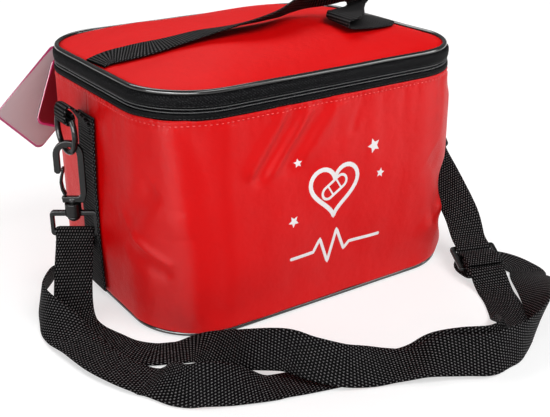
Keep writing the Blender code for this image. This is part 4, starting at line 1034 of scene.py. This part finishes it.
def handle_stations():
    return [(Vector((x * HALF_LENGTH, y * HALF_DEPTH, LID_EDGE_HEIGHT + z * WEB_WIDTH)),
             Vector(facing).normalized()) for x, y, z, *facing in HANDLE_SHARES]


def end_wall_out(side, height):
    """How far the end wall's cloth stands out under the webbing sewn up it."""
    share = (WALL_HIGH.z - height) / (WALL_HIGH.z - WALL_LOW.z)
    sway = 0.0005 * noise.noise(Vector((height * 40, side * 3.0, 0)))
    return FOOT_FLARE * smooth(share) + BELLY * math.sin(math.pi * share) + sway


def build_webbing():
    strap = band("shoulder_strap_webbing", strap_stations(), WEB_WIDTH, WEB_THICKNESS, 0.0028, SEAT_GAP, 2)
    place(strap, "strap", "black_webbing", WEBBING, "strap_webbing")
    handle = band("carry_handle_webbing", handle_stations(), WEB_WIDTH, WEB_THICKNESS, 0.0022, 0, 2)
    place(handle, "lid", "black_webbing", HANDLE_WEBBING, "carry_handle")
    for side, word in ((-1, "left"), (1, "right")):
        stations = []
        low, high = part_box(word + "_end_webbing")
        for step in range(25):
            height = lerp(low.z, high.z, step / 24)
            spot = Vector((side * HALF_LENGTH, SIDE_SHIFT, height))
            out = end_wall_out(side, height) + END_BAND_LIFT
            stations.append((spot + Vector((side * out, 0, 0)), Vector((0, 1, 0))))
        upright = band(word + "_end_webbing_weave", stations, WEB_WIDTH, WEB_THICKNESS, 0.003)
        place(upright, "case_body", "black_webbing", WEBBING, word + "_end_webbing")
        tab = []
        for out, up in TAB_SHARES:
            spot = Vector((side * (RING_X + out * RING_STANDOFF), SIDE_SHIFT, RING_HEIGHT + up * RING_RADIUS))
            tab.append((spot, Vector((0, 1, 0))))
        tab_piece = band(word + "_ring_tab_weave", tab, TAB_WIDTH, WEB_THICKNESS, 0.0012)
        place(tab_piece, "case_body", "black_webbing", WEBBING, word + "_ring_tab")


# Repeated threads and teeth

def repeat_tree(name, material, jitter):
    """Node tree that sets a small rounded thread at each step of a path, along it and out of it."""
    tree = bpy.data.node_groups.new(name, "GeometryNodeTree")
    tree.interface.new_socket("Geometry", in_out="INPUT", socket_type="NodeSocketGeometry")
    for label in ("Pitch", "Along", "Aside", "Proud"):
        tree.interface.new_socket(label, in_out="INPUT", socket_type="NodeSocketFloat")
    tree.interface.new_socket("Geometry", in_out="OUTPUT", socket_type="NodeSocketGeometry")
    nodes, link = tree.nodes, tree.links.new
    start, end = nodes.new("NodeGroupInput"), nodes.new("NodeGroupOutput")
    path = nodes.new("GeometryNodeMeshToCurve")
    resample = nodes.new("GeometryNodeResampleCurve")
    resample.mode = "LENGTH"
    ball = nodes.new("GeometryNodeMeshUVSphere")
    ball.inputs["Segments"].default_value = 6
    ball.inputs["Rings"].default_value = 4
    ball.inputs["Radius"].default_value = 0.5
    tangent = nodes.new("GeometryNodeInputTangent")
    outward = nodes.new("GeometryNodeInputNamedAttribute")
    outward.data_type = "FLOAT_VECTOR"
    outward.inputs["Name"].default_value = "outward"
    axes = nodes.new("FunctionNodeAxesToRotation")
    axes.primary_axis, axes.secondary_axis = "Z", "X"
    size = nodes.new("ShaderNodeCombineXYZ")
    vary = nodes.new("FunctionNodeRandomValue")
    vary.inputs["Seed"].default_value = 7
    for socket in vary.inputs:
        if socket.name == "Min" and socket.type == "VALUE":
            socket.default_value = 1 - jitter
        if socket.name == "Max" and socket.type == "VALUE":
            socket.default_value = 1 + jitter
    scale = nodes.new("ShaderNodeVectorMath")
    scale.operation = "SCALE"
    instance = nodes.new("GeometryNodeInstanceOnPoints")
    realise = nodes.new("GeometryNodeRealizeInstances")
    paint = nodes.new("GeometryNodeSetMaterial")
    paint.inputs["Material"].default_value = material
    link(start.outputs["Geometry"], path.inputs["Mesh"])
    link(path.outputs["Curve"], resample.inputs["Curve"])
    link(start.outputs["Pitch"], resample.inputs["Length"])
    link(start.outputs["Along"], size.inputs["X"])
    link(start.outputs["Aside"], size.inputs["Y"])
    link(start.outputs["Proud"], size.inputs["Z"])
    link(size.outputs[0], scale.inputs["Vector"])
    link([socket for socket in vary.outputs if socket.type == "VALUE" and socket.enabled][0],
         scale.inputs["Scale"])
    link(outward.outputs["Attribute"], axes.inputs["Primary Axis"])
    link(tangent.outputs[0], axes.inputs["Secondary Axis"])
    link(resample.outputs["Curve"], instance.inputs["Points"])
    link(ball.outputs["Mesh"], instance.inputs["Instance"])
    link(axes.outputs[0], instance.inputs["Rotation"])
    link(scale.outputs[0], instance.inputs["Scale"])
    link(instance.outputs["Instances"], realise.inputs["Geometry"])
    link(realise.outputs["Geometry"], paint.inputs["Geometry"])
    link(paint.outputs["Geometry"], end.inputs["Geometry"])
    return tree


def repeat_along(name, paths, pitch, along, aside, proud, body, slot, material, jitter=0.06):
    """Threads or teeth along paths of (place, outward) pairs, made a plain mesh on one body."""
    bm = bmesh.new()
    layer = bm.verts.layers.float_vector.new("outward")
    for points in paths:
        row = []
        for spot, out in points:
            vert = bm.verts.new(spot)
            vert[layer] = out
            row.append(vert)
        for before, after in zip(row, row[1:]):
            bm.edges.new((before, after))
    carrier = add_mesh(name + "_path", bm, False)
    tree = repeat_tree(name + "_tree", material, jitter)
    modifier = carrier.modifiers.new("Repeat", "NODES")
    modifier.node_group = tree
    sizes = {"Pitch": pitch, "Along": along, "Aside": aside, "Proud": proud}
    for socket in tree.interface.items_tree:
        if socket.in_out == "INPUT" and socket.name in sizes:
            modifier[socket.identifier] = sizes[socket.name]
    bpy.context.view_layer.update()
    graph = bpy.context.evaluated_depsgraph_get()
    mesh = bpy.data.meshes.new_from_object(carrier.evaluated_get(graph))
    bpy.data.objects.remove(carrier, do_unlink=True)
    item = bpy.data.objects.new(name, mesh)
    bpy.context.scene.collection.objects.link(item)
    mesh.shade_smooth()
    return place(item, body, slot, material)


def plan_path(first, last, height, outset, step=0.002):
    count = max(2, round((last - first) / step))
    path = []
    for index in range(count + 1):
        base, out = plan_point(lerp(first, last, index / count))
        path.append((base + out * outset + Vector((0, 0, height)), out))
    return path


def wall_path(first, last, height, lift, step=0.002):
    count = max(2, round((last - first) / step))
    path = []
    for index in range(count + 1):
        run = lerp(first, last, index / count)
        path.append((wall_point(run, height, lift), plan_point(run)[1]))
    return path


ZIP_END = STRAIGHT_X + QUARTER + 2 * STRAIGHT_Y + math.radians(79) * CORNER_RADIUS
HELD_START = STRAIGHT_X + QUARTER + 2 * STRAIGHT_Y + math.radians(58.5) * CORNER_RADIUS
TOOTH_PITCH = 0.0014


def coil_row(name, first, last, low, high, body, replaced):
    """One side of the zip's coil: upright ribs on a thin cord."""
    middle = (low + high) / 2
    outset = -0.0007
    teeth = repeat_along(name + "_teeth", [plan_path(first, last, middle, outset)], TOOTH_PITCH,
                         0.00095, high - low, 0.0019, body, "zip_coil", COIL, 0.02)
    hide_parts(*replaced)
    section = []
    for index in range(8):
        turn = 2 * math.pi * index / 8
        section.append((outset + 0.00055 * math.cos(turn), middle + (high - low) * 0.3 * math.sin(turn),
                        index * 0.0003))
    runs = [lerp(first, last, index / 200) for index in range(201)]

    def point(row, column):
        base, out = plan_point(runs[column])
        return base + out * section[row][0] + Vector((0, 0, section[row][1]))

    def run_map(row, column):
        return column * 0.002, row * 0.0003

    bm = grid_mesh(8, len(runs), point, True, False, run_map)
    bmesh.ops.holes_fill(bm, edges=[edge for edge in bm.edges if edge.is_boundary])
    bmesh.ops.recalc_face_normals(bm, faces=bm.faces)
    place(add_mesh(name + "_core", bm), body, "zip_coil", COIL)


def build_zip():
    low, high = COIL_LOW.z, COIL_HIGH.z
    coil_row("lower_coil", -ZIP_END, ZIP_END, low, high, "case_body", ["zip_coil_lower"])
    low, high = UPPER_COIL_LOW.z, UPPER_COIL_HIGH.z
    coil_row("upper_coil", -HELD_START, ZIP_END, low, high, "lid", ["zip_coil_upper"])
    coil_row("held_coil", -ZIP_END, -HELD_START - 0.0006, low, high, "case_body", ["zip_coil_held"])
    for name in ("zip_stop_left", "zip_stop_right", "zip_slider", "zip_pull"):
        paint_node(name, METAL)
    first, last = ZIP_END + 0.0030, 2 * HALF_PLAN - ZIP_END - 0.0030
    runs = [lerp(first, last, index / 90) for index in range(91)]
    section = []
    for row in range(9):
        share = row / 8
        section.append((-0.0001 + 0.0005 * math.sin(math.pi * share),
                        lerp(TAPE_HIGH.z + 0.0002, BAND_LOW.z - 0.0002, share), share * 0.004))
    item = ring_strip("hinge_tape_twill", runs, section, False)
    thicken(item, 0.0009)
    item.data.materials.append(TAPE_TWILL)
    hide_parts("back_hinge_strip")
    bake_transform(item)


def build_stitches():
    seam = WALL_HIGH.z - SEAM_DROP
    gap = 0.0012
    end = FRONT_REACH - gap
    paths = [wall_path(-end, end, seam, 0.00012),
             wall_path(FRONT_REACH + gap, 2 * HALF_PLAN - FRONT_REACH - gap, seam, 0.00012)]
    repeat_along("wall_seam_stitches", paths, 0.0034, 0.0018, 0.00075, 0.0008, "case_body", "red_nylon",
                 RED_THREAD, 0.14)
    band_row = plan_path(-HALF_PLAN, HALF_PLAN, BAND_LOW.z + 0.0009, 0.00055)
    repeat_along("band_stitches", [band_row], 0.0026, 0.0019, 0.0003, 0.00032, "lid", "black_tape",
                 BLACK_THREAD, 0.08)
    low = TAPE_LOW.z + 0.0006
    repeat_along("tape_stitches", [plan_path(-HALF_PLAN, HALF_PLAN, low, 0.00062)], 0.0026, 0.0019, 0.0003,
                 0.00032, "case_body", "black_tape", BLACK_THREAD, 0.08)
    for side, word in ((-1, "left"), (1, "right")):
        paths = []
        for edge in (-1, 1):
            path = []
            for step in range(60):
                height = lerp(WALL_LOW.z + 0.001, END_HIGH.z - 0.001, step / 59)
                out = end_wall_out(side, height) + END_STITCH_LIFT
                path.append((Vector((side * (HALF_LENGTH + out), SIDE_SHIFT + edge * 0.0098, height)),
                             Vector((side, 0, 0))))
            paths.append(path)
        repeat_along(word + "_webbing_stitches", paths, 0.0028, 0.0020, 0.0004, 0.0004, "case_body",
                     "black_webbing", BLACK_THREAD, 0.08)


# Hardware on its own nodes

def paint_node(name, material):
    """The node's solid is right as it is; it only gets the finish."""
    node = NODES[name]
    node.data.materials.clear()
    node.data.materials.append(material)


def moulding(name, body, skin=0.00035, passes=6):
    """The node's own solid with its edges rounded as a moulding's are."""
    node = NODES[name]
    mesh = node.data.copy()
    mesh.transform(node.matrix_world)
    item = bpy.data.objects.new(name + "_moulding", mesh)
    bpy.context.scene.collection.objects.link(item)
    remesh = item.modifiers.new("Even skin", "REMESH")
    remesh.mode = "VOXEL"
    remesh.voxel_size = skin
    remesh.use_smooth_shade = True
    rounding = item.modifiers.new("Round edges", "SMOOTH")
    rounding.factor = 0.5
    rounding.iterations = passes
    place(item, body, "black_plastic", PLASTIC, name)


def build_hardware():
    for name, body in (("left_d_ring", "left_ring"), ("right_d_ring", "right_ring"),
                       ("left_snap_hook", "left_hook"), ("right_snap_hook", "right_hook"),
                       ("left_hook_gate", "left_gate"), ("right_hook_gate", "right_gate"),
                       ("left_swivel_frame", "strap"), ("right_swivel_frame", "strap"),
                       ("tri_glide", "strap")):
        moulding(name, body)
    paint_node("tag_loop", LOOP)
    paint_node("wall_foam", FOAM)
    paint_node("lid_foam", FOAM)
    paint_node("base_board", BOARD)


# The hang cards

CARD_CORNER = 0.005
HOLE_DROP = 0.0036


def rounded_outline(width, length, radius, steps=8):
    points = []
    for side_x, side_z, first in ((1, 1, 0), (-1, 1, 90), (-1, -1, 180), (1, -1, 270)):
        for step in range(steps + 1):
            turn = math.radians(first + 90 * step / steps)
            points.append((side_x * (width / 2 - radius) + radius * math.cos(turn),
                           side_z * (length / 2 - radius) + radius * math.sin(turn)))
    return points


def card(name, node, hole, tilt, width, length, body, material, curl):
    """A printed hang card: rounded, punched, slightly curled, with its edge distance as its map."""
    bm = bmesh.new()
    layer = bm.loops.layers.uv.new("run")
    outer = rounded_outline(width, length, CARD_CORNER)
    middle_z = HOLE_DROP - length / 2
    punch = [(0.0018 * math.cos(2 * math.pi * step / len(outer) + math.radians(20)),
              0.0018 * math.sin(2 * math.pi * step / len(outer) + math.radians(20)) - middle_z)
             for step in range(len(outer))]
    rings = []
    for share in (0.0, 0.045, 0.09, 0.2, 0.4, 0.6, 0.8, 1.0):
        ring = []
        for (out_x, out_z), (in_x, in_z) in zip(outer, punch):
            x, z = lerp(out_x, in_x, share), lerp(out_z, in_z, share)
            bend = curl * ((z / length) ** 2 * 4 + (x / width) * 0.6)
            ring.append((bm.verts.new((x, bend, z + middle_z)), math.hypot(out_x - x, out_z - z)))
        rings.append(ring)
    for outside, inside in zip(rings, rings[1:]):
        for index in range(len(outer)):
            after = (index + 1) % len(outer)
            corners = (outside[index], outside[after], inside[after], inside[index])
            face = bm.faces.new([vert for vert, _ in corners])
            for loop, (_, edge) in zip(face.loops, corners):
                loop[layer].uv = (min(edge, 0.02), index * 0.002)
    item = add_mesh(name, bm)
    item.data.transform(Matrix.Translation(hole) @ Matrix.Rotation(tilt, 4, "Y"))
    thicken(item, 0.0005, 0)
    item.data.materials.append(material)
    return place(item, body, "card_pale" if material is PALE_CARD else "card_dark", material, node)


def build_cards():
    for name, node, tilt, size, body, material, curl in (
            ("large_hang_card", "hang_tag_large", 47, (0.044, 0.066), "large_tag", PALE_CARD, 0.0009),
            ("small_hang_card", "hang_tag_small", 21, (0.034, 0.050), "small_tag", SHADED_CARD, -0.0004)):
        hole = hole_place(node, math.radians(tilt), *size)
        card(name, node, hole, math.radians(tilt), *size, body, material, curl)


def hole_place(node, tilt, width, length):
    """The punched hole's place, worked back from the card's box and its tilt."""
    low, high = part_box(node)
    flat_width, flat_length = width / 2 - CARD_CORNER, length / 2 - CARD_CORNER
    half_x = flat_width * abs(math.cos(tilt)) + flat_length * abs(math.sin(tilt)) + CARD_CORNER
    half_z = flat_width * abs(math.sin(tilt)) + flat_length * abs(math.cos(tilt)) + CARD_CORNER
    middle = Vector((high.x - half_x, (low.y + high.y) / 2, high.z - half_z))
    away = length / 2 - HOLE_DROP
    return middle + Vector((math.sin(tilt) * away, 0, math.cos(tilt) * away))


# The printed motif, all generic: a heart with a plaster strip, a pulse line and small stars

PRINT_LIFT = 0.00016


def stroke(points, width, closed):
    """A flat line of even width through points (run, height), as pairs of edge points."""
    count = len(points)
    pairs = []
    for index in range(count):
        before = points[(index - 1) % count] if closed or index else points[0]
        after = points[(index + 1) % count] if closed or index < count - 1 else points[-1]
        along = Vector((after[0] - before[0], after[1] - before[1])).normalized()
        aside = Vector((-along.y, along.x)) * width / 2
        pairs.append(((points[index][0] + aside.x, points[index][1] + aside.y),
                      (points[index][0] - aside.x, points[index][1] - aside.y)))
    return pairs


def densify(points, step, closed):
    result = []
    ends = points + points[:1] if closed else points
    for (x_a, z_a), (x_b, z_b) in zip(ends, ends[1:]):
        count = max(1, round(math.hypot(x_b - x_a, z_b - z_a) / step))
        result += [(lerp(x_a, x_b, part / count), lerp(z_a, z_b, part / count)) for part in range(count)]
    if not closed:
        result.append(points[-1])
    return result


def heart(centre_x, centre_z, size):
    points = []
    for step in range(48):
        turn = 2 * math.pi * step / 48
        x = 16 * math.sin(turn) ** 3
        z = 13 * math.cos(turn) - 5 * math.cos(2 * turn) - 2 * math.cos(3 * turn) - math.cos(4 * turn)
        points.append((centre_x + x / 34 * size, centre_z + z / 34 * size))
    return points


def pill(centre_x, centre_z, width, height, turn):
    radius = height / 2
    points = []
    for step in range(17):
        angle = -math.pi / 2 + math.pi * step / 16
        points.append((width / 2 - radius + radius * math.cos(angle), radius * math.sin(angle)))
    for step in range(17):
        angle = math.pi / 2 + math.pi * step / 16
        points.append((-width / 2 + radius + radius * math.cos(angle), radius * math.sin(angle)))
    return turned(centre_x, centre_z, turn, points)


def turned(centre_x, centre_z, turn, points):
    cosine, sine = math.cos(turn), math.sin(turn)
    return [(centre_x + x * cosine - z * sine, centre_z + x * sine + z * cosine) for x, z in points]


def star(centre_x, centre_z, radius, turn):
    points = []
    for step in range(10):
        reach = radius if step % 2 == 0 else radius * 0.48
        angle = turn + math.pi / 2 + math.pi * step / 5
        points.append((centre_x + reach * math.cos(angle), centre_z + reach * math.sin(angle)))
    return points


PRINT_MIDDLE = (0.002, 0.074)
PRINT_LINE = 0.0030


def print_lines():
    x, z = PRINT_MIDDLE
    beat = [(x - 0.036, z - 0.034), (x - 0.018, z - 0.034), (x - 0.0125, z - 0.026), (x - 0.006, z - 0.044),
            (x + 0.001, z - 0.022), (x + 0.0075, z - 0.038), (x + 0.012, z - 0.034), (x + 0.036, z - 0.034)]
    strip_turn = math.radians(32)
    lines = [(heart(x - 0.002, z + 0.008, 0.040), True, PRINT_LINE), (beat, False, PRINT_LINE * 0.75),
             (pill(x - 0.002, z + 0.0085, 0.0205, 0.0085, strip_turn), True, PRINT_LINE * 0.6)]
    for offset in (-0.0036, 0.0036):
        lines.append((turned(x - 0.002, z + 0.0085, strip_turn, [(offset, -0.0040), (offset, 0.0040)]), False,
                      PRINT_LINE * 0.4))
    return lines


def build_print():
    bm = bmesh.new()

    def lay(run, height):
        return bm.verts.new(wall_point(run, height, PRINT_LIFT))

    for points, closed, width in print_lines():
        pairs = stroke(densify(points, 0.0012, closed), width, closed)
        rows = [(lay(*first), lay(*second)) for first, second in pairs]
        count = len(rows)
        for index in range(count if closed else count - 1):
            (low_a, high_a), (low_b, high_b) = rows[index], rows[(index + 1) % count]
            bm.faces.new((low_a, low_b, high_b, high_a))
        if not closed:
            for index, inward in ((0, 1), (count - 1, -1)):
                middle = points[0] if index == 0 else points[-1]
                fan_start = rows[index][0] if inward > 0 else rows[index][1]
                fan_end = rows[index][1] if inward > 0 else rows[index][0]
                next_point = points[1] if index == 0 else points[-2]
                away = Vector((middle[0] - next_point[0], middle[1] - next_point[1])).normalized()
                aside = Vector((-away.y, away.x))
                cap = []
                for step in range(1, 6):
                    turn = math.pi * step / 6
                    reach = aside * math.cos(turn) * -1 + away * math.sin(turn)
                    cap.append(lay(middle[0] + reach.x * width / 2, middle[1] + reach.y * width / 2))
                bm.faces.new([fan_start, *cap, fan_end])
    x, z = PRINT_MIDDLE
    for star_x, star_z, radius, turn in (
            (x + 0.030, z + 0.030, 0.0052, 0.3), (x + 0.036, z + 0.010, 0.0034, -0.2),
            (x - 0.034, z - 0.008, 0.0040, 0.5), (x - 0.030, z + 0.030, 0.0030, 0.1)):
        points = densify(star(star_x, star_z, radius, turn), 0.0016, True)
        centre = lay(star_x, star_z)
        rim = [lay(*point) for point in points]
        for index in range(len(rim)):
            bm.faces.new((rim[index], rim[(index + 1) % len(rim)], centre))
    for face in bm.faces:
        face.normal_update()
        if face.normal.y > 0:
            face.normal_flip()
    item = add_mesh("front_print", bm, False)
    thicken(item, 0.0001)
    place(item, "case_body", "card_pale", PRINT)


# Inside the case, seen when the lid is open

def build_inside():
    inset = HALF_LENGTH + LINING_LOW.x
    top = WALL_HIGH.z - 0.0004
    floor = LINING_LOW.z
    thickness = 0.0008
    runs = whole_plan(0.003)
    heights = [lerp(floor + 0.004, top, row / 25) for row in range(26)]

    def wall(row, column):
        run = runs[column]
        base, out = plan_point(run, inset + thickness)
        soft = 0.0011 * noise.noise(Vector((run * 22, heights[row] * 16, 11))) - 0.0006
        return base + out * min(0.0, soft) + Vector((0, 0, heights[row]))

    def run_map(row, column):
        return column * 0.003, heights[row % 26]

    bm = grid_mesh(26, len(runs), wall, False, True, run_map)
    bm.verts.ensure_lookup_table()
    before = [bm.verts[index] for index in range(len(runs))]
    rings = 14
    for ring in range(1, rings):
        share = ring / rings
        row = []
        for run in runs:
            base = plan_point(run, inset + thickness + 0.004 * smooth(min(1, share * 6)))[0]
            rise = 0.004 * (1 - smooth(min(1.0, share * 4)))
            spot = Vector((base.x * (1 - share * 0.98), base.y * (1 - share * 0.98), 0))
            soft = 0.0007 * noise.noise(Vector((spot.x * 30, spot.y * 30, 3)))
            row.append(bm.verts.new(spot + Vector((0, 0, floor + thickness + rise + max(0.0, soft)))))
        for index in range(len(runs)):
            after = (index + 1) % len(runs)
            bm.faces.new((before[index], row[index], row[after], before[after]))
        before = row
    bm.faces.new(before)
    bmesh.ops.recalc_face_normals(bm, faces=bm.faces)
    item = add_mesh("inner_lining_cloth", bm)
    floor_face = min(item.data.polygons, key=lambda face: face.center.length + abs(face.center.z - floor))
    if floor_face.normal.z < 0:
        item.data.flip_normals()
    thicken(item, thickness, -1)
    place(item, "case_body", "lining", LINING, "inner_lining")
    rim_section = [(-0.0011, WALL_HIGH.z - 0.0006, 0.0), (-0.0012, WALL_HIGH.z + 0.0004, 0.001),
                   (-0.0022, WALL_HIGH.z + 0.0011, 0.002), (-0.0036, WALL_HIGH.z + 0.0012, 0.003),
                   (-0.0050, WALL_HIGH.z + 0.0009, 0.0045), (-0.0058, WALL_HIGH.z + 0.0000, 0.0055),
                   (-0.0059, WALL_HIGH.z - 0.0060, 0.0110)]
    binding = ring_strip("rim_binding_tape", whole_plan(), rim_section, True)
    thicken(binding, 0.0004)
    place(binding, "case_body", "black_tape", TAPE_TWILL)


def build_lid_inside():
    low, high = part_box("lid_lining")

    def height(at, share):
        return low.z + 0.0004 + (high.z - low.z - 0.0008) * (1 - share ** 2) + (
            0.0004 * noise.noise(Vector((at.x * 30, at.y * 30, 9))))

    plate("lid_lining_cloth", LID_LINING_INSET, high.z - 0.0008, high.z, "lid", "lining", LINING,
          "lid_lining", 20, height)
    section = [(-0.0013, BAND_HIGH.z - 0.0010, 0.0), (-0.0016, BAND_HIGH.z - 0.0034, 0.002),
               (-0.0030, low.z - 0.0008, 0.004), (-0.0050, low.z - 0.0012, 0.006),
               (-0.0066, low.z - 0.0006, 0.008)]
    binding = ring_strip("lid_rim_binding", whole_plan(), section, True)
    thicken(binding, 0.0004, 1)
    place(binding, "lid", "black_tape", TAPE_TWILL)


# Floor, light and camera

BACKDROP_WHITE = 1.05
FILL_LIGHT = 0.16
FLOOR_FADE_MM = 1500.0


def build_stage():
    bm = bmesh.new()
    half = 3.0
    for x, y in ((-half, -half), (half, -half), (half, half), (-half, half)):
        bm.verts.new((x, y, 0))
    bm.faces.new(bm.verts)
    floor = add_mesh("studio_floor", bm, False)
    finish = Finish("studio_white", Roughness=0.6, Specular_IOR_Level=0.1, Emission_Strength=1.0)
    across, along, _ = finish.split(finish.place())
    away = ((across * across + along * along) ** 0.5 / FLOOR_FADE_MM - 0.35).held()
    finish.set(Base_Color=finish.mix(away, (0.45, 0.45, 0.45), (0.10, 0.10, 0.10)),
               Emission_Color=finish.mix(away, (0.60, 0.60, 0.60), (1.0, 1.0, 1.0)))
    floor.data.materials.append(finish.material)
    world = bpy.data.worlds.new("studio")
    bpy.context.scene.world = world
    world.use_nodes = True
    tree = world.node_tree
    rays = tree.nodes.new("ShaderNodeLightPath")
    backdrop = tree.nodes["Background"]
    strength = Signal(tree, rays.outputs["Is Camera Ray"]) * (BACKDROP_WHITE - FILL_LIGHT) + FILL_LIGHT
    feed(tree, backdrop.inputs["Color"], (1.0, 1.0, 1.0))
    feed(tree, backdrop.inputs["Strength"], strength)
    bpy.context.scene.view_settings.view_transform = "Standard"


def area_light(name, spot, aim, size, power):
    lamp = bpy.data.lights.new(name, "AREA")
    lamp.shape = "RECTANGLE"
    lamp.size, lamp.size_y = size
    lamp.energy = power
    item = bpy.data.objects.new(name, lamp)
    bpy.context.scene.collection.objects.link(item)
    item.location = spot
    item.rotation_euler = (Vector(aim) - Vector(spot)).to_track_quat("-Z", "Y").to_euler()
    return item


def build_light():
    area_light("key_softbox", (0.25, -1.0, 1.5), (0.0, 0.0, 0.05), (1.2, 0.9), 21)
    area_light("left_softbox", (-1.35, -0.75, 0.60), (-0.1, -0.05, 0.08), (0.30, 0.8), 5)
    for name, spot, width, power in (("corner_sheen", (-1.30, -0.79, 0.45), 2.4, 80),
                                     ("front_sheen", (1.05, -0.95, 0.45), 1.0, 18)):
        sheen = area_light(name, spot, (-0.09, -0.09, 0.08), (width, 0.8), power)
        sheen.visible_diffuse = False
    area_light("back_softbox", (0.1, 1.1, 1.5), (0.0, 0.0, 0.0), (1.8, 0.8), 20)


def build_camera():
    lens = bpy.data.cameras.new("photo_camera")
    lens.lens = 61.31
    lens.sensor_width = 36
    lens.sensor_fit = "HORIZONTAL"
    lens.clip_start = 0.01
    item = bpy.data.objects.new("photo_camera", lens)
    bpy.context.scene.collection.objects.link(item)
    item.location = (-0.3443, -0.5362, 0.3092)
    item.rotation_euler = (math.radians(66.519), 0, math.radians(-34.152))
    bpy.context.scene.camera = item


build_camera()
build_stage()
build_light()
build_walls()
build_panels()
build_tape()
build_lid()
build_inside()
build_lid_inside()
build_webbing()
build_zip()
build_stitches()
build_hardware()
build_cards()
build_print()
